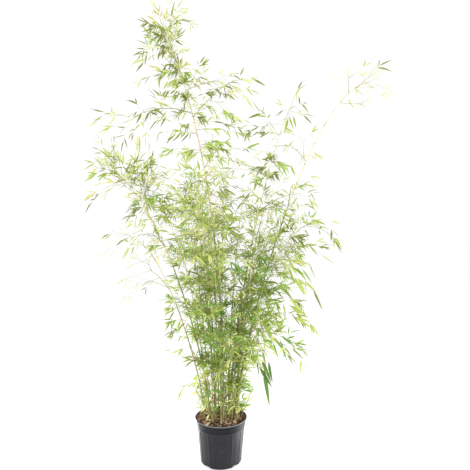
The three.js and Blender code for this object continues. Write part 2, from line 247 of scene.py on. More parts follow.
cane_green = fibrous_finish("living_cane", [(0.3, "#5f6a2f"), (0.55, "#7e8842"), (0.75, "#9b9d5c")], 0.42)
cane_straw = fibrous_finish("ripe_cane", [(0.3, "#74683a"), (0.55, "#938652"), (0.75, "#b0a36c")], 0.45)
cane_pale = fibrous_finish("young_cane", [(0.3, "#b7ac82"), (0.55, "#c9c097"), (0.75, "#d8d0ae")], 0.42)
cane_tan = fibrous_finish("leader_cane", [(0.3, "#a3925f"), (0.55, "#b7a877"), (0.75, "#cabd92")], 0.42)
joint_brown = fibrous_finish("cane_joint", [(0.3, "#574b2c"), (0.7, "#83754c")], 0.6)
dry_sheath = fibrous_finish("dry_sheath", [(0.3, "#9a8a60"), (0.6, "#b8a880"), (0.8, "#cfc29c")], 0.7)
twig_finish = fibrous_finish("green_twig", [(0.3, "#868858"), (0.6, "#a09f70"), (0.8, "#b8b590")], 0.5)
CANE_FINISHES = (cane_green, cane_straw, joint_brown, dry_sheath, cane_pale, cane_tan)
GREEN, STRAW, JOINT, SHEATH, PALE, TAN = range(len(CANE_FINISHES))
print("cane finishes:", [finish.name for finish in CANE_FINISHES])

# %% [markdown]
# ## The rule that grows the plant
#
# Drawing eighteen canes and two thousand sprays by hand would take weeks, and the solids already follow a
# rule: canes lean from their feet, stems leave a cane's side or carry on from its tip, twigs leave the
# stems, and each twig ends in a spray. Here the same rule is written again with the same seeds, so that
# every cane, stem and twig lands where its solid is. Then it goes one step finer: each large leaf of the
# solids becomes a fine twig with small leaves, about as long as the leaf was.

# %% Seeded numbers and small vector helpers
WORD = 0xFFFFFFFF
UP = np.array([0.0, 0.0, 1.0])


def seeded(seed):
    """Numbers from 0 to 1, the same on every run and the same as the solids were grown from."""
    state = seed & WORD

    def draw():
        nonlocal state
        state = (state + 0x6D2B79F5) & WORD
        t = ((state ^ (state >> 15)) * (state | 1)) & WORD
        t ^= (t + (t ^ (t >> 7)) * (t | 61)) & WORD
        return (t ^ (t >> 14)) / (WORD + 1)

    return draw


def mix(low, high, share):
    return low + (high - low) * share


def level_way(azimuth):
    return np.array([cos(radians(azimuth)), sin(radians(azimuth)), 0.0])


def unit(vector):
    return vector / np.sqrt(vector @ vector)


def cross(a, b):
    return np.array([a[1] * b[2] - a[2] * b[1], a[2] * b[0] - a[0] * b[2], a[0] * b[1] - a[1] * b[0]])


def turned(vector, axis, degrees):
    """A vector turned about a unit axis."""
    c, s = cos(radians(degrees)), sin(radians(degrees))
    return vector * c + cross(axis, vector) * s + axis * (axis @ vector) * (1 - c)


def middle_of(curve, rings, s):
    """A limb is straight from ring to ring. This is its solid's middle at s."""
    below = min(rings - 1, floor(s * rings))
    return mix(curve(below / rings), curve((below + 1) / rings), s * rings - below)


def way_at(curve, s):
    return unit(curve(min(1, s + 0.01)) - curve(max(0, s - 0.01)))


def across_of(curve):
    return unit(cross(curve(1) - curve(0), UP))


first = seeded(31)
print("first draws of seed 31:", [round(first(), 4) for _ in range(3)])

# %% The canes' named sizes, in millimetres and degrees
GAP = 0.3  # between one solid and the next
CANE_UPRIGHT = 0.02  # share of the height that stands straight
TIP_SHARE = 0.32  # radius at the tip over radius at the foot
FOOT_FLARE = 1.25  # how much thicker a cane's solid is at its very foot
CANE_RINGS, STEM_RINGS = 6, 3  # straight stretches that the solids of a cane and of a stem are made of


def tall(name, lean, height, reach, bow, nod, radius, tip_from, foot, spray, *sides):
    return dict(name=name, lean=lean, height=height, reach=reach, bow=bow, nod=nod, radius=radius,
                tip_from=tip_from, foot=foot, spray=spray,
                sides=[dict(zip(("at", "turn", "length", "lift", "sag", "spray"), side)) for side in sides])


TALL_CANES = [
    tall("leader", 180, 2030, 312, 2.15, 0.08, 7.5, 0.87, (14, -6), 105,
         (0.845, 190, 190, 52, 0.1, 100), (0.81, 25, 200, 30, 0.1, 95), (0.745, 174, 390, 24, 0.5, 90),
         (0.735, -12, 330, 50, 0.25, 90), (0.6, 60, 240, 50, 0.2, 120)),
    tall("right_inner", 4, 1650, 330, 1.45, 0.1, 6.5, 0.84, (44, 28), 110,
         (0.72, 200, 230, 30, 0.2, 110), (0.6, -30, 260, 40, 0.3, 110)),
    tall("right_outer", -3, 1740, 690, 1.3, 0.24, 6.5, 0.8, (76, -4), 95,
         (0.62, 125, 250, 50, 0.3, 100), (0.5, -90, 260, 48, 0.4, 110)),
    tall("left_outer", 178, 1290, 520, 1.4, 0.2, 6.2, 0.78, (-60, 18), 115,
         (0.72, 110, 240, 50, 0.3, 110), (0.58, 250, 260, 40, 0.4, 110)),
    tall("left_low", 186, 960, 400, 1.35, 0.24, 5.4, 0.74, (-82, -18), 105,
         (0.55, 150, 230, 50, 0.3, 105)),
    tall("right_low", -8, 1010, 380, 1.5, 0.25, 5.2, 0.7, (84, -30), 115,
         (0.34, -60, 230, 40, 0.6, 110)),
]
CLUMP_COUNT = 12
GOLDEN_TURN = 137.5
FIRST_LEAN = 82
FOOT_REACH = 88  # from the middle to the outermost foot


def clump_canes():
    """The shorter canes, dealt out round the pot by the golden turn."""
    draw = seeded(31)
    canes = []
    for i in range(CLUMP_COUNT):
        lean = FIRST_LEAN + i * GOLDEN_TURN
        foot_out = FOOT_REACH * ((i + 0.5) / CLUMP_COUNT) ** 0.5
        foot = level_way(lean) * foot_out
        cane = dict(name=f"clump_{i + 1:02d}", lean=lean + mix(-20, 20, draw()),
                    height=mix(900, 1240, draw()),
                    reach=mix(90, 300, mix(foot_out / FOOT_REACH, draw(), 0.5)),
                    bow=1.6, nod=0.18, radius=mix(4.6, 6, draw()), tip_from=0.56,
                    foot=(foot[0], foot[1]), spray=100, sides=[])
        side = dict(at=mix(0.07, 0.36, draw()), turn=cane["lean"] + mix(-75, 75, draw()),
                    length=mix(260, 340, draw()), lift=72, sag=0.15, spray=100)
        if (i + 1) % 4:
            cane["sides"].append(side)
        canes.append(cane)
    return canes


canes = TALL_CANES + clump_canes()
print(len(canes), "canes and", sum(len(cane["sides"]) for cane in canes), "side stems")

# %% Where canes and stems run
def cane_curve(cane):
    way = level_way(cane["lean"])
    foot = np.array([cane["foot"][0], cane["foot"][1], mix_top + GAP])

    def curve(s):
        leaned = max(0, s - CANE_UPRIGHT) / (1 - CANE_UPRIGHT)
        risen = (s - cane["nod"] * s**4) / (1 - cane["nod"])
        return foot + way * cane["reach"] * leaned ** cane["bow"] + UP * cane["height"] * risen

    return curve


def cane_radius(cane, s):
    return cane["radius"] * mix(1, TIP_SHARE, s)


def tip_stem(cane):
    """The stem that carries on where the bare cane ends."""
    curve = cane_curve(cane)
    start = cane["tip_from"]
    pace = np.linalg.norm(curve(start + 0.001) - curve(start)) / 0.001
    start += GAP / pace
    return dict(name=f"foliage_{cane['name']}_tip", spray=cane["spray"],
                curve=lambda s: curve(mix(start, 1, s)), length=cane["height"] * (1 - cane["tip_from"]),
                radius=lambda s: max(3, cane_radius(cane, mix(start, 1, s))))


def side_stem(cane, side, number):
    """A stem that starts in a cane's middle, rises and then sags outwards."""
    lift, length = radians(side["lift"]), side["length"]
    way = level_way(side["turn"]) * cos(lift) + UP * sin(lift)
    bare, tip_from = cane_curve(cane), cane["tip_from"]
    root = middle_of(lambda s: bare(s * tip_from), CANE_RINGS, side["at"] / tip_from)
    return dict(name=f"foliage_{cane['name']}_side_{number}", spray=side["spray"], length=length,
                curve=lambda s: root + way * length * s - UP * length * side["sag"] * s * s,
                radius=lambda s: mix(3.5, 3, s))


masses = []
for cane in canes:
    masses.append(tip_stem(cane))
    masses += [side_stem(cane, side, k + 1) for k, side in enumerate(cane["sides"])]
print(len(masses), "stems, together", round(sum(mass["length"] for mass in masses) * MM, 1), "m")

# %% [markdown]
# ### Keeping pieces apart
#
# Twigs and leaves that would pass through a neighbour are left out. Each stretch of limb, twig or leaf is
# laid down as a capsule: two ends and a radius. A new one is tested against all that are laid already. The
# test is done for the whole list at once with numpy, which keeps it fast.

# %% The capsules laid so far
CLEARANCE = 1.0  # mm kept free between one piece and the next


class Laid:
    """Every capsule so far. Those of one group may touch each other."""

    def __init__(self, room=6000):
        self.ends = np.zeros((room, 2, 3))
        self.radii = np.zeros(room)
        self.groups = np.full(room, -1)
        self.names = {}
        self.count = 0

    def group(self, name):
        return self.names.setdefault(name, len(self.names))

    def add(self, a, b, radius, name):
        self.ends[self.count] = a, b
        self.radii[self.count] = radius
        self.groups[self.count] = self.group(name)
        self.count += 1

    def is_clear(self, a, b, radius, name):
        c, d = self.ends[: self.count, 0], self.ends[: self.count, 1]
        u, v, w = b - a, d - c, a - c
        uu, uv, vv = u @ u, v @ u, np.einsum("ij,ij->i", v, v)
        uw, vw = w @ u, np.einsum("ij,ij->i", v, w)
        spread = uu * vv - uv * uv
        level = spread > 1e-9
        s = np.where(level, np.clip((uv * vw - vv * uw) / np.where(level, spread, 1), 0, 1), 0)
        t = np.clip((uv * s + vw) / vv, 0, 1)
        s = np.clip((uv * t - uw) / uu, 0, 1)
        apart = np.linalg.norm(w + u * s[:, None] - v * t[:, None], axis=1)
        near = apart <= radius + self.radii[: self.count] + CLEARANCE
        return not np.any(near & (self.groups[: self.count] != self.group(name)))


def lay_curve(laid, curve, radius_at, count, name):
    for i in range(count):
        laid.add(curve(i / count), curve((i + 1) / count), radius_at(i / count), name)


laid = Laid()
for cane in canes:
    curve, tip = cane_curve(cane), cane["tip_from"]
    lay_curve(laid, lambda s: curve(s * tip),
              lambda s: cane_radius(cane, s * tip) * (FOOT_FLARE if s == 0 else 1), CANE_RINGS,
              f"culm_{cane['name']}")
for mass in masses:
    lay_curve(laid, mass["curve"], mass["radius"], STEM_RINGS, mass["name"])
print(laid.count, "stretches of cane and stem laid")

# %% Twigs and sprays, as in the solids
TWIG_TURNS = (0, 180, 90, 270)  # degrees round the stem, one twig after another
TWIG_RADIUS = 2.1
TWIG_SPREAD, TWIG_SAG = 46, 0.16  # degrees from the stem, and how far it then sags
LEAF_LENGTH, LEAF_WIDTH = 165, 0.18  # mm, and a share of the length
FIRST_FAN, NEXT_FAN = 34, 8  # degrees that the first side leaf stands out, and each next one more


def grow_twig(mass, s, turn, length):
    curve = mass["curve"]
    way = way_at(curve, s)
    out = turned(across_of(curve), way, turn)
    heading = unit(way * cos(radians(TWIG_SPREAD)) + out * sin(radians(TWIG_SPREAD)) - UP * TWIG_SAG)
    root = middle_of(curve, STEM_RINGS, s)
    return lambda u: root + heading * length * u


def spray_leaves(twig, length, count, draw):
    """The large leaves that a twig ends in: where each is rooted, the way it points and how long it is."""
    end = way_at(twig, 1)
    facing = cross(across_of(twig), end)
    leaves = []
    for i in range(count):
        hand = (i % 2) * 2 - 1 if i else 0
        way = unit(turned(end, facing, hand * (FIRST_FAN + NEXT_FAN * (i - 1))) - UP * mix(0.1, 1.1, draw()))
        leaf_length = LEAF_LENGTH * mix(0.8, 1.1, draw())
        roll = mix(-60, 60, draw())
        leaves.append(dict(root=twig(1 - i * 15 / length) - way * 1.5, way=way, length=leaf_length,
                           roll=roll))
    return leaves


def grow_mass(mass, seed):
    """Grows one mass of foliage: its twigs, and the leaves that are clear of everything laid."""
    draw = seeded(seed)
    twigs, leaves = [], []

    def add_spray(twig, length, count, group):
        for leaf in spray_leaves(twig, length, count, draw):
            a, b = (leaf["root"] + leaf["way"] * leaf["length"] * share for share in (0.12, 0.95))
            radius = leaf["length"] * LEAF_WIDTH * 0.38
            if laid.is_clear(a, b, radius, group):
                laid.add(a, b, radius, group)
                leaves.append(leaf | {"group": group})

    count = max(3, floor(mass["length"] / 90 + 0.5))
    for k in range(count):
        s = mix(0.14, 0.86, k / (count - 1))
        turn = TWIG_TURNS[(k + seed) % 4] + mix(-12, 12, draw())
        length = mass["spray"] * mix(0.75, 1.2, draw()) * mix(1.15, 0.7, s)
        twig = grow_twig(mass, s, turn, length)
        group = f"{mass['name']} twig {k}"
        halves = [(twig(0), twig(0.5)), (twig(0.5), twig(1))]
        if all(laid.is_clear(a, b, TWIG_RADIUS, mass["name"]) for a, b in halves):
            for a, b in halves:
                laid.add(a, b, TWIG_RADIUS, group)
            twigs.append(twig)
            add_spray(twig, length, 4, group)
    add_spray(lambda s: middle_of(mass["curve"], STEM_RINGS, s), mass["length"], 3, mass["name"])
    return twigs, leaves


for i, mass in enumerate(masses):
    mass["twigs"], mass["leaves"] = grow_mass(mass, i + 1)
print(sum(len(mass["twigs"]) for mass in masses), "twigs and",
      sum(len(mass["leaves"]) for mass in masses), "large leaves, as in the solids")

# %% [markdown]
# ### One step finer
#
# A real spray is a wiry twig a hand long that ends in a fan of small leaves, and its short side twigs carry
# fans of their own. The large leaves of the solids mark where such sprays go. More start between them where
# the crown is dense, and most shoot from the canes' joints, which is what fills the middle of a clump. How
# full a mass's sprays are comes from one number: 0 for a spray without side twigs, near 1 for a dense one.

# %% A spray of small leaves
SMALL_LEAF = (40, 64)  # mm, a usual blade's length at least and at most
FINE_WOOD = {  # mm, the radius at the root and at the tip
    "twig": (1.4, 0.8),
    "stalk": (0.7, 0.35),
    "side twig": (0.4, 0.25),
    "young shoot": (1.7, 0.8),
    "placed twig": (1.1, 0.6),
}


class Growth:
    """Fine wood as runs of four points with the radius at each end, and small leaves as rows of numbers."""

    def __init__(self):
        self.runs, self.leaves = [], []

    def add_run(self, curve, kind):
        self.runs.append(([curve(k / 3) for k in range(4)], *FINE_WOOD[kind]))

    def add_leaf(self, root, way, length, tint, draw, roll=0, sway=75):
        """A blade rolled about its own length so many degrees, give or take the sway."""
        across = turned(unit(cross(UP, way)), way, roll + mix(-sway, sway, draw()))
        slender = mix(0.12, 0.185, draw())
        bend = mix(-0.04, 0.2, draw())
        self.leaves.append((*root, *way, *across, length, length * slender, bend, tint))


def hanging(root, way, length, sag):
    return lambda s: root + way * (length * s) - UP * (length * sag * s * s)


def add_fan(growth, curve, facing, count, leaf_length, tint, draw):
    """An end leaf, then leaves to each hand in turn, a little further back each time."""
    end = way_at(curve, 1)
    first_hand = 1 if draw() < 0.5 else -1
    for i in range(count):
        hand = 0 if i == 0 else first_hand * (1 if i % 2 else -1)
        way = unit(turned(end, facing, hand * mix(24, 62, draw())) - UP * mix(-0.25, 0.45, draw()))
        growth.add_leaf(curve(1 - 0.11 * i), way, leaf_length * mix(0.7, 1.15, draw()), tint, draw)


def grow_spray(growth, root, way, reach, full, tint, draw, leaf_size=1.0):
    """A wiry twig with small leaves, about as long in all as the reach given."""
    leaf_length = mix(*SMALL_LEAF, draw()) * leaf_size
    length = max(18, reach - 0.8 * leaf_length)
    stalk = hanging(root, unit(way + UP * mix(0.0, 0.6, draw())), length, mix(0.0, 0.22, draw()))
    growth.add_run(stalk, "stalk")
    end = way_at(stalk, 1)
    facing = turned(cross(across_of(stalk), end), end, mix(-70, 70, draw()))
    hand = 1 if draw() < 0.5 else -1
    side_twigs = floor(full * 2.5 + draw())
    for k in range(side_twigs):
        s = mix(0.15, 0.85, (k + draw()) / side_twigs)
        hand = -hand
        heading = turned(way_at(stalk, s), facing, hand * mix(30, 65, draw()))
        heading = unit(heading - UP * mix(-0.25, 0.25, draw()))
        twiglet = hanging(stalk(s), heading, mix(0.15, 0.4, draw()) * length, 0.05)
        growth.add_run(twiglet, "side twig")
        add_fan(growth, twiglet, facing, 1 + floor(2.5 * draw()), leaf_length * 0.92, tint, draw)
    add_fan(growth, stalk, facing, 2 + floor(full + 1.5 * draw()), leaf_length, tint, draw)


# %% How full each mass is, and its tints
PLACES = {  # how often a spray gets each tint, from the top down, and at the far tips
    "top": dict(fresh=34, bright=14, mid=6, olive=30, golden=6, pale=10),
    "crown": dict(fresh=25, bright=22, mid=20, olive=19, deep=8, golden=3, pale=3),
    "body": dict(fresh=14, bright=21, mid=26, olive=18, deep=19, golden=1, pale=1),
    # the far tips are mostly pale, a painted highlight for sprays washed out by strong light
    "far": dict(fresh=10, bright=1, mid=1, olive=2, golden=2, pale=84),
    "foot": dict(fresh=34, bright=26, mid=20, olive=14, deep=4, golden=2),
}
TINT_NUMBERS = {tint: number for number, tint in enumerate(LEAF_TINTS)}
# A mass's place, how full its sprays are, how many are added for each of the solids' leaves, the leaves'
# size, how far the added ones turn upwards, and their reach over the usual.
Habit = namedtuple("Habit", "place full added leaf lift reach", defaults=(0.95, 0.3, 1.0))
MASSES = {
    "leader_tip": Habit("top", 0.8, 0.9, leaf=1.05),
    "leader_side_1": Habit("top", 0.1, 0.0, leaf=1.1),
    "leader_side_2": Habit("top", 0.4, 0.3, leaf=1.15),
    "leader_side_3": Habit("top", 0.2, 0.5, leaf=1.3),
    "leader_side_4": Habit("top", 0.2, 0.0, leaf=1.2),
    "leader_side_5": Habit("top", 0.0, 0.0, leaf=1.2),
    "right_inner_tip": Habit("top", 0.1, 0.1, leaf=1.3),
    "right_inner_side_1": Habit("top", 0.0, 0.0, leaf=1.1),
    "right_inner_side_2": Habit("top", 0.0, 0.0, leaf=1.15),
    "right_outer_tip": Habit("far", 0.0, 0.8, leaf=1.15),
    "right_outer_side_1": Habit("top", 0.0, 0.0, leaf=1.1),
    "right_outer_side_2": Habit("top", 0.1, 0.0, leaf=1.15),
    "left_outer_tip": Habit("top", 0.4, 1.8, leaf=1.15, lift=1.3, reach=1.3),
    "left_outer_side_1": Habit("top", 0.5, 1.9, leaf=1.15, lift=2.0, reach=2.0),
    "left_outer_side_2": Habit("top", 0.4, 0.2),
    "left_low_*": Habit("far", 0.0, 0.0, leaf=1.0),
    "right_low_tip": Habit("crown", 0.1, 0.2, leaf=1.3),
    "right_low_side_1": Habit("body", 0.4, 2.0, leaf=1.3, reach=1.15),
    "clump_07_side_*": Habit("far", 0.0, 0.0, leaf=0.8),
    "clump_12_tip": Habit("crown", 0.4, 0.3),
    "clump_08_tip": Habit("crown", 0.5, 0.4),
    "clump_*_tip": Habit("crown", 0.8, 1.1, lift=0.0, reach=0.9),
    "clump_*_side_*": Habit("body", 0.8, 2.2),
}


def habit(name):
    """The first habit in MASSES that fits this mass's name."""
    return next(found for pattern, found in MASSES.items() if fnmatch(name, f"foliage_{pattern}"))


def deal_tint(place, draw):
    """The number of a tint, drawn as often as the place has it."""
    pick = draw() * sum(PLACES[place].values())
    for tint, weight in PLACES[place].items():
        pick -= weight
        if pick < 0:
            break
    return TINT_NUMBERS[tint]


def grow_finer(mass, seed):
    """Turns a mass's large leaves into sprays and adds more sprays between them."""
    growth, draw, own = Growth(), seeded(seed), habit(mass["name"])
    for twig in mass["twigs"]:
        growth.add_run(twig, "twig")
    for leaf in mass["leaves"]:
        grow_spray(growth, leaf["root"], leaf["way"], leaf["length"], own.full,
                   deal_tint(own.place, draw), draw, own.leaf)
    for k in range(round(own.added * len(mass["leaves"]))):
        s, about = mix(0.05, 1, draw()), draw() * 360
        way = way_at(mass["curve"], s)
        out = turned(across_of(mass["curve"]), way, about)
        heading = unit(way * mix(0.2, 1, draw()) + out + UP * own.lift)
        root = middle_of(mass["curve"], STEM_RINGS, s)
        if mass["twigs"] and k % 2:
            root = mass["twigs"][int(draw() * len(mass["twigs"]))](mix(0.2, 0.9, draw()))
        grow_spray(growth, root, heading, mix(80, 150, draw()) * own.reach, own.full,
                   deal_tint(own.place, draw), draw, own.leaf)
    return growth


MASS_SEEDS, SHOOT_SEEDS, YOUNG_SEEDS, LONE_SEEDS = 1000, 2000, 3000, 4000
for i, mass in enumerate(masses):
    mass["growth"] = grow_finer(mass, MASS_SEEDS + i)
print(sum(len(mass["growth"].leaves) for mass in masses), "small leaves in the masses")

# %% Joints of the canes, and the sprays that shoot from them
# For each cane: the shares of its height between which it shoots, sprays at each joint, and their reach.
SHOOTS = {
    "leader": [(0.04, 0.15, 1.5, 60, 100), (0.15, 0.38, 4.5, 70, 150), (0.38, 0.5, 2.2, 70, 150),
               (0.5, 0.54, 2.4, 70, 150), (0.54, 0.62, 0.8, 60, 120), (0.62, 0.75, 2.6, 70, 150),
               (0.75, 0.85, 8.0, 35, 75), (0.85, 0.94, 7.0, 45, 90), (0.94, 1.01, 3.0, 50, 100)],
    "right_inner": [(0.04, 0.3, 6.5, 80, 150), (0.3, 0.48, 6.5, 90, 200), (0.48, 0.64, 2.2, 70, 140),
                    (0.64, 0.69, 2.0, 60, 100), (0.69, 0.78, 9.0, 40, 80), (0.78, 0.9, 0.7, 60, 120)],
    "right_outer": [(0.04, 0.3, 9.0, 80, 160), (0.3, 0.42, 11.5, 90, 190), (0.42, 0.62, 0.8, 70, 140),
                    (0.62, 0.75, 0.4, 60, 120)],
    "left_outer": [(0.04, 0.15, 3.0, 60, 110), (0.15, 0.48, 4.0, 60, 120), (0.48, 0.8, 2.0, 70, 130)],
    "left_low": [(0.04, 0.6, 2.2, 60, 100)],
    "right_low": [(0.04, 0.3, 9.0, 70, 150), (0.3, 0.78, 15.0, 90, 210), (0.78, 0.97, 3.0, 80, 140)],
    "clump": [(0.04, 0.15, 1.5, 50, 110), (0.15, 0.36, 8.8, 60, 140), (0.36, 0.6, 9.6, 60, 140),
              (0.6, 0.76, 5.0, 60, 140)],
}
JOINT_GAP = 88  # mm between a cane's joints, on average
OUTWARD = 0.5  # how far a spray leans the way its cane leans
LOW_REACH, LOW_END = 0.55, 0.4  # sprays next to the pot reach this share of those from the low end up
BODY_TOP, CROWN_TOP = 1000, 1350  # mm; the tints change at these heights


def joint_shares(cane):
    """Where the joints are, as shares of the cane: close together at the foot and tip."""
    count = round(cane["height"] / JOINT_GAP)
    gaps = np.array([0.35 + sin(pi * ((k + 0.5) / count) ** 0.8) for k in range(count)])
    return np.concatenate([[0], np.cumsum(gaps) / gaps.sum()])


def add_shoots(growth, cane, seed):
    draw, curve = seeded(seed), cane_curve(cane)
    outward = unit((curve(1) - curve(0)) * (1, 1, 0)) * OUTWARD
    rows = next(rows for start, rows in SHOOTS.items() if cane["name"].startswith(start))
    for low, high, each, least, most in rows:
        for joint in joint_shares(cane):
            for _ in range(floor(each + draw()) if low <= joint < high else 0):
                lift, about = radians(mix(5, 65, draw())), draw() * 360
                way = unit((level_way(about) + outward) * cos(lift) + UP * sin(lift))
                reach = mix(least, most, draw()) * mix(LOW_REACH, 1, min(1, joint / LOW_END))
                level = curve(joint)[2]
                place = "body" if level < BODY_TOP else "crown" if level < CROWN_TOP else "top"
                grow_spray(growth, curve(joint), way, reach, 0.7, deal_tint(place, draw), draw, 0.92)


for i, cane in enumerate(canes):
    cane["growth"] = Growth()
    add_shoots(cane["growth"], cane, SHOOT_SEEDS + i)
print(sum(len(cane["growth"].leaves) for cane in canes), "small leaves on the canes' joints")

# %% Young shoots at the foot
YOUNG_SHOOTS = 3  # round each foot
YOUNG_REACH = 112  # mm from the pot's middle, at most


def add_young(growth, cane, seed):
    """Thin young shoots that rise from the compost round a cane's foot, with a spray at three heights."""
    draw, foot = seeded(seed), cane_curve(cane)(0)
    for _ in range(YOUNG_SHOOTS):
        root = foot + level_way(draw() * 360) * mix(8, 26, draw())
        root *= min(1, YOUNG_REACH / np.linalg.norm(root[:2])) ** np.array([1, 1, 0])
        lean = radians(mix(2, 34, draw()))
        way = unit(unit(root * (1, 1, 0) + level_way(draw() * 360) * 30) * sin(lean) + UP * cos(lean))
        height = mix(60, 230, draw())
        shoot = hanging(root, way, height, 0.04)
        growth.add_run(shoot, "young shoot")
        for s in (0.55, 0.8, 1.0):
            about = level_way(draw() * 360)
            grow_spray(growth, shoot(s), unit(way + about * 0.9), mix(40, 70, draw()), 0.0,
                       deal_tint("foot", draw), draw, 0.8)


for i, cane in enumerate(canes):
    add_young(cane["growth"], cane, YOUNG_SEEDS + i)
print(sum(len(cane["growth"].leaves) for cane in canes), "with those on the young shoots")
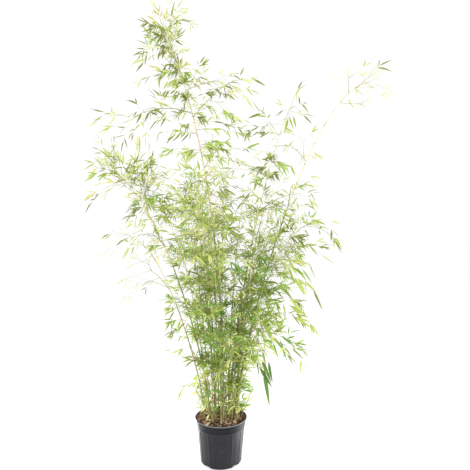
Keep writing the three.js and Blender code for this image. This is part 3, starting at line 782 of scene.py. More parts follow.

# %% [markdown]
# ### Sprays placed one by one
#
# Chance fills a crown evenly, and a real one isn't even: a few bold sprays give it its outline, with open
# gaps between. So some twigs are placed one by one, each by its cane, how far up that it starts, and the
# way and distance that it reaches. Placed for the front view alone, they would lie in one plane like a
# pressed plant. So each is also turned to the front or the back, and made longer by as much as that hides.

# %% The sprays placed one by one
LONE_SPRAYS = {  # cane: share of its height, heading, reach, leaves, their length, tint, hang and rise
    "right_low": [
        (0.22, -25, 124, 2, 175, "dark", 2.1), (0.23, -25, 108, 3, 120, "dark", 2.4),
        (0.26, -20, 50, 9, 60, "mid", 1.0), (0.38, -15, 60, 10, 60, "mid", 0.5),
        (0.4, -10, 130, 10, 60, "mid", 0.5), (0.41, -10, 220, 8, 70, "olive", 0.6),
        (0.33, -15, 165, 3, 90, "deep", 1.2), (0.45, -30, 200, 5, 85, "bright", 1.0),
        (0.43, -10, 275, 7, 85, "bright", 0.9), (0.52, -10, 255, 2, 110, "olive", 2.0),
        (0.5, -16, 215, 3, 95, "bright", 1.2), (0.62, -20, 150, 5, 90, "mid", 1.0),
        (0.58, -12, 190, 5, 80, "bright", 1.0), (0.42, -20, 90, 8, 60, "olive", 0.4),
        (0.47, -15, 90, 10, 55, "mid", 0.5), (0.52, -10, 60, 10, 55, "olive", 0.5),
        (0.55, -22, 130, 10, 55, "mid", 0.5), (0.6, -20, 70, 10, 55, "mid", 0.5),
        (0.66, -14, 140, 8, 55, "fresh", 0.3),
    ],
    "right_outer": [
        (0.27, -20, 200, 8, 60, "olive", 0.5), (0.33, -25, 170, 8, 55, "mid", 0.5),
        (0.36, -12, 210, 4, 90, "bright", 0.9), (0.38, 0, 140, 10, 60, "mid", 0.4),
        (0.4, -5, 190, 7, 60, "bright", 0.3), (0.42, -5, 120, 10, 60, "olive", 0.4),
    ],
    "right_inner": [
        (0.34, -40, 170, 3, 75, "deep", 1.0), (0.71, 180, 55, 10, 55, "mid", 0.5),
        (0.73, 0, 40, 10, 55, "olive", 0.4), (0.75, 180, 50, 10, 55, "olive", 0.5),
        (0.77, 10, 60, 10, 55, "bright", 0.6), (0.75, 0, 110, 9, 55, "mid", 0.5),
        (0.87, 180, 180, 10, 50, "olive", 0.6), (0.91, 178, 190, 10, 52, "olive", 0.5),
    ],
    "left_low": [
        (0.3, 190, 60, 6, 48, "bright", 0.6), (0.4, 5, 70, 10, 50, "mid", 0.3),
        (0.42, 180, 55, 10, 50, "mid", 0.3), (0.45, 10, 90, 10, 50, "olive", 0.3),
        (0.47, 175, 45, 8, 50, "bright", 0.3), (0.34, 176, 95, 6, 50, "mid", 0.4),
        (0.38, 186, 75, 7, 50, "olive", 0.4),
    ],
    "left_outer": [
        (0.56, 10, 90, 10, 55, "olive", 0.3), (0.58, 185, 60, 10, 55, "mid", 0.3),
        (0.6, 0, 120, 10, 55, "mid", 0.3), (0.7, 20, 90, 10, 55, "bright", 0.3),
        (0.74, 200, 50, 10, 55, "olive", 0.4), (0.76, 30, 70, 10, 55, "mid", 0.2),
        (0.78, 150, 60, 10, 55, "mid", 0.3), (0.8, 0, 130, 10, 55, "olive", 0.4),
        (0.74, 10, 110, 10, 55, "olive", 0.3), (0.78, 20, 110, 10, 55, "mid", 0.3),
        (0.79, 5, 60, 10, 55, "mid", 0.4), (0.85, 10, 235, 9, 55, "bright", 0.2, 2.5),
        (0.86, 60, 190, 10, 55, "olive", 0.1, 2.0), (0.92, 100, 200, 10, 55, "bright", 0.2, 2.0),
        (0.93, 60, 120, 10, 55, "olive", 0.1, 2.0), (0.97, 180, 110, 9, 55, "mid", 0.4, 0.2),
        (0.95, 150, 170, 9, 55, "olive", 0.2, 2.0),
    ],
    "leader": [
        (0.44, 5, 110, 10, 52, "mid", 0.3), (0.46, 185, 200, 10, 52, "bright", 0.3),
        (0.47, 178, 150, 10, 52, "mid", 0.3), (0.48, 0, 140, 10, 52, "bright", 0.3),
        (0.49, 175, 190, 10, 52, "olive", 0.3), (0.5, -5, 110, 10, 52, "mid", 0.3),
        (0.51, 182, 130, 10, 52, "mid", 0.3), (0.64, 182, 330, 10, 55, "bright", 0.3),
        (0.645, 176, 170, 8, 55, "mid", 0.6), (0.65, 180, 90, 8, 52, "olive", 0.4),
        (0.655, 0, 140, 12, 55, "bright", 0.3), (0.66, 0, 150, 12, 55, "mid", 0.4),
        (0.67, 0, 110, 12, 55, "mid", 0.4), (0.65, 10, 130, 9, 52, "olive", 0.4),
        (0.655, -10, 60, 8, 52, "fresh", 0.3), (0.66, 4, 90, 10, 52, "bright", 0.5),
        (0.69, 180, 200, 8, 55, "mid", 0.6), (0.69, 185, 150, 6, 60, "olive", 0.8),
        (0.72, 2, 250, 12, 52, "olive", 0.3, 0.35), (0.72, 178, 55, 7, 52, "olive", 0.9),
        (0.735, 0, 45, 10, 50, "olive", 0.3), (0.7, 8, 100, 8, 52, "bright", 0.4),
        (0.745, 10, 60, 7, 50, "bright", 0.3), (0.75, 170, 110, 5, 55, "bright", 0.8),
        (0.77, 5, 120, 8, 50, "mid", 0.0), (0.78, 2, 130, 10, 50, "olive", 0.1, 0.5),
        (0.8, 182, 110, 9, 52, "olive", 1.2), (0.8, 180, 60, 10, 50, "mid", 1.0),
        (0.83, 178, 80, 10, 52, "bright", 1.4), (0.84, 186, 45, 10, 50, "fresh", 1.2),
        (0.86, 180, 70, 10, 50, "mid", 1.4), (0.86, 180, 110, 10, 50, "olive", 1.3),
        (0.86, 0, 30, 10, 48, "mid", 0.5), (0.87, 175, 25, 12, 48, "olive", 0.6),
        (0.88, 190, 40, 10, 48, "olive", 1.0), (0.93, 180, 75, 10, 50, "olive", 1.3),
        (0.94, 176, 60, 10, 50, "olive", 1.0), (0.97, 184, 85, 10, 50, "mid", 0.1),
        (0.99, 178, 110, 12, 50, "olive", 0.3, 0.6), (1.0, 176, 100, 12, 50, "olive", 0.1, 0.5),
        (0.97, 180, 62, 14, 42, "olive", 0.4, 0.45), (0.64, 180, 75, 10, 52, "bright", 0.3),
        (0.63, 0, 95, 10, 52, "mid", 0.2), (0.635, 0, 45, 9, 50, "bright", 0.3),
        (0.7, -2, 270, 10, 52, "mid", 0.9),
    ],
}
ASIDE = (8, 36)  # degrees that a spray is turned to the front or the back, at least and at most
DEFAULT_RISE = 0.25


def add_lone(growth, cane, seed, share, heading, reach, count, leaf_length, tint, hang, rise=DEFAULT_RISE):
    """A twig with leaves to both hands along its outer part. The higher the hang, the more they droop.

    Its turn aside lengthens it, so that from the front it reaches as far and rises as steeply as given.
    """
    draw = seeded(seed)
    aside = (seed % 2 * 2 - 1) * mix(*ASIDE, draw())
    shortened = cos(radians(aside))
    way = unit(level_way(heading + aside) + UP * rise * shortened)
    twig = hanging(cane_curve(cane)(share), way, reach / shortened, 0.25)
    growth.add_run(twig, "placed twig")
    end, facing = way_at(twig, 1), across_of(twig)
    for k in range(count):
        spread, tilt = mix(-45, 45, (k + draw()) / count), (k % 2 * 2 - 1) * mix(5, 48, draw())
        way = unit(turned(turned(end, facing, tilt), UP, spread) - UP * hang * mix(0.2, 1.2, draw()))
        length = leaf_length * mix(0.65, 1.15, draw())
        root = twig(1 - 0.75 * draw() ** 1.3 if k else 1)
        growth.add_leaf(root, way, length, TINT_NUMBERS[tint], draw, roll=90, sway=30)


cane_named = {cane["name"]: cane for cane in canes}
lone_rows = [(cane_named[name], row) for name, rows in LONE_SPRAYS.items() for row in rows]
for i, (cane, row) in enumerate(lone_rows):
    add_lone(cane["growth"], cane, LONE_SEEDS + i, *row)
print(len(lone_rows), "sprays placed by hand,", sum(len(cane["growth"].leaves) for cane in canes),
      "small leaves on the canes in all")

# %% [markdown]
# ## Leaves and twigs as joined meshes
#
# One leaf is modelled once, from a small grid whose rows are drawn in to a blade's outline. A particle
# system or instances would be the usual way to scatter it, but those are lost when a model is exported.
# So the one leaf's points are copied to every place with numpy and joined into one mesh for each part of
# the plant. Twigs are made the same way, from a three-sided tube.

# %% One leaf
LEAF_ROWS = (0.0, 0.07, 0.3, 0.6, 0.85, 1.0)  # share of the length
LEAF_OUTLINE = (0.0, 0.42, 1.0, 0.8, 0.38, 0.0)  # half width at each row, over the widest

blade = bmesh.new()
bmesh.ops.create_grid(blade, x_segments=2, y_segments=len(LEAF_ROWS) - 1, size=1)
for vertex in blade.verts:
    row = round((vertex.co.y + 1) / 2 * (len(LEAF_ROWS) - 1))
    vertex.co = (vertex.co.x * LEAF_OUTLINE[row], LEAF_ROWS[row], 0)
bmesh.ops.remove_doubles(blade, verts=blade.verts, dist=1e-4)
blade.verts.index_update()
BLADE_POINTS = np.array([vertex.co[:2] for vertex in blade.verts])
BLADE_FACES = [[vertex.index for vertex in face.verts] for face in blade.faces]
blade.free()
print("one leaf:", len(BLADE_POINTS), "points,", len(BLADE_FACES), "faces")


# %% Joined copies
def joined_mesh(name, points, faces, copies, uv=None):
    """A mesh of many copies of one set of faces. points holds all the copies' points, in order."""
    each = len(points) // copies
    sizes = np.array([len(face) for face in faces])
    corners = np.concatenate(faces)
    all_corners = (corners[None, :] + each * np.arange(copies)[:, None]).ravel()
    all_sizes = np.tile(sizes, copies)
    mesh = bpy.data.meshes.new(name)
    mesh.vertices.add(len(points))
    mesh.vertices.foreach_set("co", (points * MM).ravel())
    mesh.loops.add(len(all_corners))
    mesh.loops.foreach_set("vertex_index", all_corners)
    mesh.polygons.add(len(all_sizes))
    mesh.polygons.foreach_set("loop_start", np.concatenate([[0], np.cumsum(all_sizes)[:-1]]))
    mesh.polygons.foreach_set("loop_total", all_sizes)
    mesh.update(calc_edges=True)
    if uv is not None:
        layer = mesh.uv_layers.new(name="UVMap")
        layer.data.foreach_set("uv", np.tile(uv[corners], (copies, 1)).ravel())
    mesh.validate()
    return mesh


def unit_rows(vectors):
    return vectors / np.linalg.norm(vectors, axis=-1, keepdims=True)


FOLD = 0.22  # how far a blade's edges stand above its midrib, over its width


def leaves_mesh(name, rows, finishes):
    """Every leaf of a part of the plant: folded along its midrib and bent down towards its tip."""
    rows = np.array(rows)
    root, way, across = rows[:, None, 0:3], rows[:, None, 3:6], rows[:, None, 6:9]
    length, width, bend = (rows[:, None, i : i + 1] for i in (9, 10, 11))
    side, along = BLADE_POINTS[None, :, 0:1], BLADE_POINTS[None, :, 1:2]
    facing = np.cross(way, across)
    points = (root + way * length * along + across * width / 2 * side
              + facing * width * FOLD * np.abs(side) - UP * length * bend * along**2)
    uv = np.column_stack([(BLADE_POINTS[:, 0] + 1) / 2, BLADE_POINTS[:, 1]])
    mesh = joined_mesh(name, points.reshape(-1, 3), BLADE_FACES, len(rows), uv)
    for finish in finishes:
        mesh.materials.append(finish)
    mesh.polygons.foreach_set("material_index", np.repeat(rows[:, 12].astype(int), len(BLADE_FACES)))
    mesh.polygons.foreach_set("use_smooth", np.ones(len(mesh.polygons), bool))
    return mesh


NO_LIMBS_WAY = np.array([0.31, 0.17, 0.94])  # a slant that no twig or stem runs along


def tubes_mesh(name, lines, thick, thin, sides, finish):
    """Tapering tubes of equal point count along many lines, closed at both ends."""
    lines = np.array(lines)
    copies, rings = lines.shape[:2]
    way = unit_rows(np.gradient(lines, axis=1))
    across = unit_rows(np.cross(way, NO_LIMBS_WAY))
    over = np.cross(way, across)
    radius = mix(np.array(thick)[:, None], np.array(thin)[:, None], np.linspace(0, 1, rings)[None, :])
    angles = np.arange(sides) * 2 * pi / sides
    circle = (across[:, :, None] * np.cos(angles)[None, None, :, None]
              + over[:, :, None] * np.sin(angles)[None, None, :, None])
    points = lines[:, :, None] + circle * radius[:, :, None, None]
    around = [(k, (k + 1) % sides) for k in range(sides)]
    faces = [[r * sides + k, r * sides + after, (r + 1) * sides + after, (r + 1) * sides + k]
             for r in range(rings - 1) for k, after in around]
    faces += [list(range(sides))[::-1], [(rings - 1) * sides + k for k in range(sides)]]
    mesh = joined_mesh(name, points.reshape(-1, 3), faces, copies)
    mesh.materials.append(finish)
    mesh.polygons.foreach_set("use_smooth", np.ones(len(mesh.polygons), bool))
    return mesh


def triangles(mesh):
    return sum(len(polygon.vertices) - 2 for polygon in mesh.polygons)


def add_piece(mesh, replaced=()):
    """Adds a finished piece to the scene, tied to the one body, and hides the solids it stands for."""
    piece = bpy.data.objects.new(mesh.name, mesh)
    bpy.context.collection.objects.link(piece)
    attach(piece, "root")
    if replaced:
        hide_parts(*replaced)
    print(f"{piece.name}: {triangles(mesh)} triangles")


# %% Leaves, twigs and stems of each part of the plant
PARTS = ("clump", "leader", "right", "left")
STEM_THICK, STEM_THIN = 2.6, 1.0  # mm, the radius at the root and at the tip
STEM_STATIONS, STEM_SIDES, TWIG_SIDES = 12, 6, 3

for part in PARTS:
    grown = [mass for mass in masses if mass["name"].startswith(f"foliage_{part}")]
    side_stems = [mass for mass in grown if "_side_" in mass["name"]]
    growers = grown + [cane for cane in canes if cane["name"].startswith(part)]
    growths = [grower["growth"] for grower in growers]
    rows = [row for growth in growths for row in growth.leaves]
    lines, thick, thin = zip(*[run for growth in growths for run in growth.runs])
    nodes, side_nodes = ([mass["name"] for mass in group] for group in (grown, side_stems))
    add_piece(leaves_mesh(f"leaves_{part}", rows, leaf_finishes.values()), nodes)
    add_piece(tubes_mesh(f"twigs_{part}", lines, thick, thin, TWIG_SIDES, twig_finish), nodes)
    lines = [[mass["curve"](k / STEM_STATIONS) for k in range(STEM_STATIONS + 1)] for mass in side_stems]
    thick, thin = ([radius] * len(lines) for radius in (STEM_THICK, STEM_THIN))
    add_piece(tubes_mesh(f"stems_{part}", lines, thick, thin, STEM_SIDES, twig_finish), side_nodes)

# %% [markdown]
# ## Canes
#
# A cane is a tapering tube with a swollen ring at every joint, short joints at the foot and tip and long
# ones between. A dry sheath wraps the lower part of many joints and ends in a slanting edge. A flat grid
# is rolled up round the cane's curve: columns run round it, and each row is one station up the cane with
# a radius of its own. Spinning a profile would be quicker, but these canes are bowed.

# %% Joints and stations up a cane
CANE_SIDES = 10
SWELL = 1.2  # radius of a joint's ring over the cane's
SLIM = 0.72  # between its joints a cane is this share of the solid's thickness
YOUNG_FROM = 0.42  # share of the height from which a cane is young and pale


def mesh_of(bm, name):
    """The bmesh as a mesh of its own, with its faces turned outwards."""
    bmesh.ops.recalc_face_normals(bm, faces=bm.faces)
    mesh = bpy.data.meshes.new(name)
    bm.to_mesh(mesh)
    bm.free()
    return mesh


def cane_stations(cane, draw):
    """Rows up the cane: share of its height, added radius share, slant in shares, finish below the row."""
    joints = joint_shares(cane)
    step = 1.6 / cane["height"]
    young = TAN if cane["name"] == "leader" else PALE
    stations = [(0, FOOT_FLARE - 1, 0, STRAW), (6 * step, 0.06, 0, STRAW)]
    for k, (low, high) in enumerate(zip(joints[:-1], joints[1:])):
        ripe = STRAW if low < 0.12 + 0.1 * draw() else young if low > YOUNG_FROM else GREEN
        sheathed = draw() < (0.4 if low < 0.5 else 0.2)
        if k:
            stations += [(low - step, 0.0, 0, ripe), (low, SWELL - 1, 0, JOINT), (low + step, 0.05, 0, JOINT)]
        if sheathed:
            top = mix(low, high, mix(0.35, 0.75, draw()))
            slant = mix(0.05, 0.14, draw()) * (high - low)
            stations += [(low + 2 * step, 0.17, 0, SHEATH), (top - slant, 0.1, slant, SHEATH),
                         (top - slant + step / 2, 0.0, slant, SHEATH)]
        stations += [(mix(low, high, 0.93), 0.0, 0, ripe)]
    return sorted(s for s in stations if s[0] <= 1) + [(1.0, 0.0, 0, young)]


def cane_mesh(cane, seed):
    curve, draw = cane_curve(cane), seeded(seed)
    stations = cane_stations(cane, draw)
    across, turn = across_of(curve), draw() * 2 * pi
    rows = len(stations) - 1
    bm = bmesh.new()
    bmesh.ops.create_grid(bm, x_segments=CANE_SIDES, y_segments=rows, size=1)
    for face in bm.faces:
        row = round((max(vertex.co.y for vertex in face.verts) + 1) / 2 * rows)
        face.material_index = stations[row][3]
        face.smooth = True
    for vertex in bm.verts:
        share, added, slant, _ = stations[round((vertex.co.y + 1) / 2 * rows)]
        angle = (vertex.co.x + 1) * pi
        s = min(1, max(0, share + slant * cos(angle + turn)))
        over = unit(cross(across, way_at(curve, s)))
        radius = cane_radius(cane, s) * SLIM * (1 + added)
        vertex.co = (curve(s) + (across * cos(angle) + over * sin(angle)) * radius) * MM
    bmesh.ops.remove_doubles(bm, verts=bm.verts, dist=1e-6)
    bmesh.ops.holes_fill(bm, edges=[edge for edge in bm.edges if edge.is_boundary], sides=0)
    mesh = mesh_of(bm, f"cane_{cane['name']}")
    for finish in CANE_FINISHES:
        mesh.materials.append(finish)
    return mesh


CANE_SEEDS = 500
for i, cane in enumerate(canes):
    add_piece(cane_mesh(cane, CANE_SEEDS + i), [f"culm_{cane['name']}"])

# %% [markdown]
# ## The pot
#
# A nursery pot is moulded from polypropylene: a thin wall with a stiff collar, a rolled lip, shallow panels
# between ribs, and notches through the foot so that water drains. It is round, so a profile spun once
# round the axis makes the whole shell. The panels are then pressed in by moving points, and the notches
# are cut with a boolean, which is then applied.

# %% Pot sizes, in millimetres
RIM, POT_HEIGHT = (pot_high[0] - pot_low[0]) / 2 / MM, (pot_high[2] - pot_low[2]) / MM
COLLAR_FOOT = POT_HEIGHT - 44
PANELS, PANEL_DEPTH = 12, 2.0
SPIN_STEPS = 240
OUTER_PROFILE = [  # radius and height up the outside
    (0, 0), (90, 0), (97, 0), (101.5, 2.2), (105.5, 7), (105.8, 10), (107.2, 24),
    *[(mix(107.2, 121.4, k / 12), mix(24, COLLAR_FOOT - 14, k / 12)) for k in range(1, 13)],
    (121.9, COLLAR_FOOT - 5), (122.2, COLLAR_FOOT - 2), (124.5, COLLAR_FOOT), (125.1, COLLAR_FOOT + 3),
    (127.9, COLLAR_FOOT + 21), (128.6, COLLAR_FOOT + 22.2), (129.4, COLLAR_FOOT + 24),
    (131.2, POT_HEIGHT - 7.2), (132.4, POT_HEIGHT - 6.4), (134.4, POT_HEIGHT - 5.8), (RIM, POT_HEIGHT - 4.4),
    (RIM, POT_HEIGHT - 1.4), (RIM - 0.7, POT_HEIGHT - 0.3), (RIM - 1.8, POT_HEIGHT),
]
INNER_PROFILE = [  # and down the inside
    (RIM - 3.6, POT_HEIGHT), (RIM - 4.8, POT_HEIGHT - 0.8), (RIM - 5.6, POT_HEIGHT - 3),
    (128.2, POT_HEIGHT - 12), (122, COLLAR_FOOT), (118.2, COLLAR_FOOT - 4), (101.7, 9), (94, 2.5), (0, 2.5),
]


def smooth_step(low, high, value):
    t = min(1, max(0, (value - low) / (high - low)))
    return t * t * (3 - 2 * t)


def panel_press(radius, height, angle):
    """How far the outer wall is pressed in here: a shallow panel with soft edges between raised ribs."""
    if not 105.5 <= radius <= 122.1 or not 7 < height < COLLAR_FOOT - 2:
        return 0.0
    from_rib = abs((angle / (2 * pi) * PANELS + 0.5) % 1 - 0.5) * 2 * pi * radius / PANELS
    upright = smooth_step(9, 24, height) * (1 - smooth_step(COLLAR_FOOT - 16, COLLAR_FOOT - 4, height))
    return PANEL_DEPTH * smooth_step(2.5, 6, from_rib) * upright


def pressed(x, y, z):
    """Where a point of the wall goes when the panels are pressed in."""
    radius = (x * x + y * y) ** 0.5
    press = panel_press(radius / MM, z / MM, np.arctan2(y, x)) * MM
    return (x * (radius - press) / radius, y * (radius - press) / radius, z) if press else (x, y, z)


def spun_body(name, outline, steps, moved):
    """An outline of radii and heights in millimetres, spun round the axis, and each point moved."""
    bm = bmesh.new()
    profile = [bm.verts.new((radius * MM, 0, height * MM)) for radius, height in outline]
    edges = [bm.edges.new(pair) for pair in zip(profile[:-1], profile[1:])]
    bmesh.ops.spin(bm, geom=profile + edges, cent=(0, 0, 0), axis=(0, 0, 1), angle=2 * pi,
                   steps=steps, use_merge=True)
    bmesh.ops.remove_doubles(bm, verts=bm.verts, dist=1e-6)
    for vertex in bm.verts:
        vertex.co = moved(*vertex.co)
    return mesh_of(bm, name)


pot_blank = spun_body("pot_blank", OUTER_PROFILE + INNER_PROFILE, SPIN_STEPS, pressed)
print("pot:", RIM * 2, "mm across the lip,", POT_HEIGHT, "mm tall")

# %% Drain notches
DRAINS, DRAIN_WIDTH, DRAIN_HEIGHT, DRAIN_TURN = 4, 42, 13, 3
CUTTER_DEPTH, CUTTER_OUT = 37, 109.5  # mm, how deep each cutter is and how far out its middle lies
DRAIN_CORNER = 2.5  # mm, the round on a notch's edges


def drain_cutter():
    bm = bmesh.new()
    for k in range(DRAINS):
        made = bmesh.ops.create_cube(bm, size=1)["verts"]
        bmesh.ops.scale(bm, verts=made, vec=(DRAIN_WIDTH * MM, CUTTER_DEPTH * MM, 2 * DRAIN_HEIGHT * MM))
        bmesh.ops.translate(bm, verts=made, vec=(0, CUTTER_OUT * MM, 0))
        turn = radians(DRAIN_TURN + 360 / DRAINS * (k + 0.5))
        bmesh.ops.rotate(bm, verts=made, cent=(0, 0, 0), matrix=Matrix.Rotation(turn, 3, "Z"))
    bmesh.ops.bevel(bm, geom=[e for e in bm.edges if abs(e.verts[0].co.z - e.verts[1].co.z) < 1e-6],
                    offset=DRAIN_CORNER * MM, segments=3, profile=0.5, affect="EDGES", material=-1)
    return mesh_of(bm, "drain_cutter")


def cut_away(mesh, cutter_mesh):
    """The mesh less the cutter, as a new mesh."""
    body = bpy.data.objects.new("cut_body", mesh)
    cutter = bpy.data.objects.new("cut_tool", cutter_mesh)
    for thing in (body, cutter):
        bpy.context.collection.objects.link(thing)
    cut = body.modifiers.new("drains", "BOOLEAN")
    cut.operation, cut.solver, cut.object = "DIFFERENCE", "EXACT", cutter
    result = bpy.data.meshes.new_from_object(body.evaluated_get(bpy.context.evaluated_depsgraph_get()))
    for thing in (body, cutter):
        bpy.data.objects.remove(thing)
    for used in (mesh, cutter_mesh):
        bpy.data.meshes.remove(used)
    return result


pot = cut_away(pot_blank, drain_cutter())
pot.name = "nursery_pot"
print("pot after its drains:", len(pot.polygons), "faces")

# %% Moulded polypropylene
# Black recycled polypropylene, injection moulded: a fine eggshell grain gives it a soft, wide highlight, and
# handling leaves it a little dusty. Its lip is a painted highlight: the top few millimetres are mixed towards
# light grey where the rolled lip catches the light. The collar's mould was etched, so it shines less.
GRAIN = 1.4  # mm, coarser than the mould's texture so that it shows
DUST = 60  # mm across each cloud of dust
DUSTY_BLACKS = ((0.35, "#0f0f14"), (0.6, "#15151b"), (0.8, "#212027"))


def polypropylene(name, shine):
    material, surface = new_finish(name)
    place = add_node(material, "ShaderNodeTexCoord").outputs["Object"]
    grain, dust = (add_node(material, "ShaderNodeTexNoise",
                            {"Vector": place, "Scale": per_metre(size), "Detail": detail}).outputs["Fac"]
                   for size, detail in ((GRAIN, 2.0), (DUST, 5.0)))
    dusty = add_node(material, "ShaderNodeValToRGB", {"Fac": dust}, DUSTY_BLACKS)
    height = add_node(material, "ShaderNodeSeparateXYZ", {"Vector": place}).outputs["Z"]
    # Painted highlight: the lip's top few millimetres are mixed towards light grey, standing in for the light
    # that the rolled lip catches.
    lip_highlight_share = add_node(material, "ShaderNodeMapRange",
                      {"Value": height, "From Min": (POT_HEIGHT - 6) * MM, "From Max": (POT_HEIGHT - 1) * MM})
    lip_painted_highlight = add_node(material, "ShaderNodeMix",
                      {"Factor": lip_highlight_share.outputs["Result"], 6: dusty.outputs["Color"], 7: linear("#6e6f73")},
                      data_type="RGBA")
    dulled = add_node(material, "ShaderNodeMapRange",
                      {"Value": dust, "From Min": 0.3, "From Max": 0.75, "To Min": 0.26, "To Max": 0.42})
    relief = add_node(material, "ShaderNodeBump", {"Height": grain, "Strength": 0.35, "Distance": 0.0003})
    fill(material, surface, {"Base Color": lip_painted_highlight.outputs[2], "Roughness": dulled.outputs["Result"],
                             "IOR": 1.36, "Specular IOR Level": shine, "Normal": relief.outputs["Normal"]})
    return material


pot.materials.clear()
pot.materials.append(polypropylene("moulded_polypropylene", 0.5))
pot.materials.append(polypropylene("grained_polypropylene", 0.24))
for face in pot.polygons:
    face.material_index = 1 if face.center.z > COLLAR_FOOT * MM else 0
pot.shade_smooth()
pot.set_sharp_from_angle(angle=radians(38))
add_piece(pot, ["pot"])

# %% [markdown]
# ## Potting mix
#
# The pot is filled with dark compost with bark chips, and fallen leaves and straw lie on top. The mix is a
# spun body whose top is roughened by layered noise. The chips and litter are real shapes in joined meshes,
# because a bump alone would leave the top flat when seen from the side.

# %% Lumpy compost
MIX_STEPS, MIX_RINGS = 120, 34
MIX_SWELL = 9  # mm that the crumbs and litter stand above the solid's level
MIX_RADIUS = 127.6
MIX_OUTLINE = [  # up the wall, then inwards over the top
    (0, 2.8), (93, 2.8), (100.5, 11), (116.8, COLLAR_FOOT - 4), (127, mix_top - 1.5),
    *[(MIX_RADIUS * (1 - k / MIX_RINGS), mix_top) for k in range(MIX_RINGS + 1)],
]
LUMPS = ((26, 3.2), (9, 2.2), (4, 1.0))  # mm across and mm high


def mix_height(x, y):
    """The level of the compost, in millimetres: a low mound with lumps and dips."""
    lumps = sum(noise.noise(Vector((x, y, 0)) / across) * high for across, high in LUMPS)
    return mix_top + lumps + MIX_SWELL + 3 * cos(min(1, (x * x + y * y) ** 0.5 / 120) * pi / 2)


def heaped(x, y, z):
    """Where a point of the mix goes when its top is made lumpy."""
    return x, y, mix_height(x / MM, y / MM) * MM if z / MM > mix_top - 1 else z


def crumbly_finish(name, stops, crumb, roughness=0.95):
    """Compost or bark: crumbs a few millimetres across with a colour and a relief each."""
    material, surface = new_finish(name)
    place = add_node(material, "ShaderNodeTexCoord").outputs["Object"]
    crumbs = add_node(material, "ShaderNodeTexNoise",
                      {"Vector": place, "Scale": per_metre(crumb), "Detail": 6.0, "Roughness": 0.65})
    tones = add_node(material, "ShaderNodeValToRGB", {"Fac": crumbs.outputs["Fac"]}, stops)
    relief = add_node(material, "ShaderNodeBump",
                      {"Height": crumbs.outputs["Fac"], "Strength": 0.9, "Distance": 0.0015})
    fill(material, surface, {"Base Color": tones.outputs["Color"], "Roughness": roughness, "IOR": 1.45,
                             "Normal": relief.outputs["Normal"]})
    return material


COMPOST_BROWNS = ((0.35, "#1a0f0a"), (0.5, "#311f16"), (0.62, "#523726"), (0.75, "#7b5d44"))
compost = spun_body("compost", MIX_OUTLINE, MIX_STEPS, heaped)
compost.shade_smooth()
compost.materials.append(crumbly_finish("damp_compost", COMPOST_BROWNS, crumb=7))
add_piece(compost, ["potting_mix"])

# %% Bark chips
CHIPS = 520
CHIP_REACH = 121  # mm from the middle
BARK_SLABS = [(-62, -88, 23, 8), (-44, -98, 14, 6), (70, -62, 15, 7), (-20, 96, 18, 7)]  # place, half sizes
BARKS = {  # ramp stops, the darkest bark first
    "dark_bark": ((0.3, "#26160f"), (0.7, "#523624")),
    "tan_bark": ((0.3, "#745138"), (0.7, "#a27c58")),
    "pale_bark": ((0.3, "#b09379"), (0.7, "#d8bfa8")),
}
chip_draw = seeded(77)
box_faces = [[0, 1, 3, 2], [4, 6, 7, 5], [0, 4, 5, 1], [2, 3, 7, 6], [0, 2, 6, 4], [1, 5, 7, 3]]
corners = np.array([[x, y, z] for x in (-1, 1) for y in (-1, 1) for z in (-1, 1)], float)


def scatter(draw, reach):
    """A random place on the compost, evenly dealt over its disc."""
    out, round_about = reach * draw() ** 0.5, draw() * 2 * pi
    return out * cos(round_about), out * sin(round_about)


def flat_turn(draw, tilt):
    """A random turn about the upright, after tilts of up to so many degrees each way."""
    turn = Matrix.Rotation(draw() * 2 * pi, 3, "Z")
    for axis in "XY":
        turn = turn @ Matrix.Rotation(radians(mix(-tilt, tilt, draw())), 3, axis)
    return turn


def chip_points(draw, long, wide, x, y, tilt=28):
    """A ragged slab of bark that reaches about so far each way from its middle, along and across."""
    thick = mix(0.8, 2.4, draw())
    ragged = np.array([[mix(0.65, 1.15, draw()) for _ in range(3)] for _ in range(8)])
    shape = corners * ragged * (long, wide, thick)
    return shape @ np.array(flat_turn(draw, tilt)).T + (x, y, mix_height(x, y) + thick)


def small_chip(draw):
    return chip_points(draw, mix(3, 11, draw() ** 2), mix(2, 5, draw()), *scatter(draw, CHIP_REACH))


chip_rows = [small_chip(chip_draw) for _ in range(CHIPS)]
chip_rows += [chip_points(chip_draw, long, wide, x, y, tilt=8) for x, y, long, wide in BARK_SLABS]
chips = joined_mesh("bark_chips", np.concatenate(chip_rows), box_faces, len(chip_rows))
for name, stops in BARKS.items():
    chips.materials.append(crumbly_finish(name, stops, crumb=3, roughness=0.85))
tones = [0 if pick < 0.5 else 1 if pick < 0.88 else 2 for pick in (chip_draw() for _ in range(CHIPS))]
tones += [2] * len(BARK_SLABS)
chips.polygons.foreach_set("material_index", np.repeat(tones, len(box_faces)))
add_piece(chips)

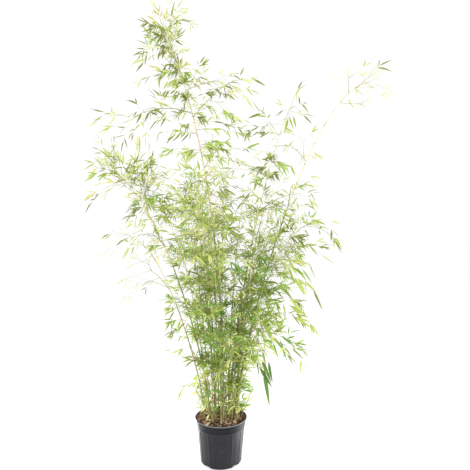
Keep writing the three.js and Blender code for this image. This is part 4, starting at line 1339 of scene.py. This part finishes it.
# %% Fallen leaves and straw
FALLEN = 150
LITTER_REACH = 112  # mm from the middle to a leaf's ends, at most
STRAWS = {
    "straw": ((0.3, "#c4ad79"), (0.7, "#dfcda0")),
    "dead_leaf": ((0.3, "#a5875a"), (0.7, "#c6a877")),
    "grey_straw": ((0.3, "#a79b86"), (0.7, "#cfc6b4")),
}
fallen_draw = seeded(78)


def fallen_leaf(draw):
    """A row for leaves_mesh: a dry blade on the compost, shortened where it would come near the wall."""
    x, y = scatter(draw, 100)
    turn = flat_turn(draw, 14)
    way, across = (np.array(turn @ Vector(axis)) for axis in ((1, 0, 0), (0, 1, 0)))
    length = mix(22, 62, draw())
    root = np.array([x, y, mix_height(x, y) + 2.6]) - way * length / 2
    furthest = max(LITTER_REACH, np.hypot(*(root + way * length)[:2]), np.hypot(*root[:2]))
    inside = LITTER_REACH / furthest
    width, bend, finish = mix(2.5, 7, draw()), mix(-0.06, 0.06, draw()), int(draw() * len(STRAWS))
    return (*root * (inside, inside, 1), *way, *across, length * inside, width, bend, finish)


dry_finishes = [fibrous_finish(name, stops, 0.75, size=2.0, stretch=1) for name, stops in STRAWS.items()]
add_piece(leaves_mesh("fallen_leaves", [fallen_leaf(fallen_draw) for _ in range(FALLEN)], dry_finishes))

# %% [markdown]
# ## The floor
#
# The floor is a wide pale sheet, not part of the plant.

# %% The floor
MOTTLE = 400  # mm across, so faint that the sheet looks plain

floor_bm = bmesh.new()
bmesh.ops.create_grid(floor_bm, x_segments=1, y_segments=1, size=30)
floor_mesh = mesh_of(floor_bm, "studio_floor")
paper, surface = new_finish("white_paper")
place = add_node(paper, "ShaderNodeTexCoord").outputs["Object"]
mottle = add_node(paper, "ShaderNodeTexNoise", {"Vector": place, "Scale": per_metre(MOTTLE), "Detail": 2.0})
whites = add_node(paper, "ShaderNodeValToRGB", {"Fac": mottle.outputs["Fac"]},
                  ((0.3, "#f7f7f7"), (0.7, "#fcfcfc")))
fill(paper, surface, {"Base Color": whites.outputs["Color"], "Roughness": 0.9})
floor_mesh.materials.append(paper)
studio_floor = bpy.data.objects.new("studio_floor", floor_mesh)
bpy.context.collection.objects.link(studio_floor)
print("floor:", floor_mesh.name)
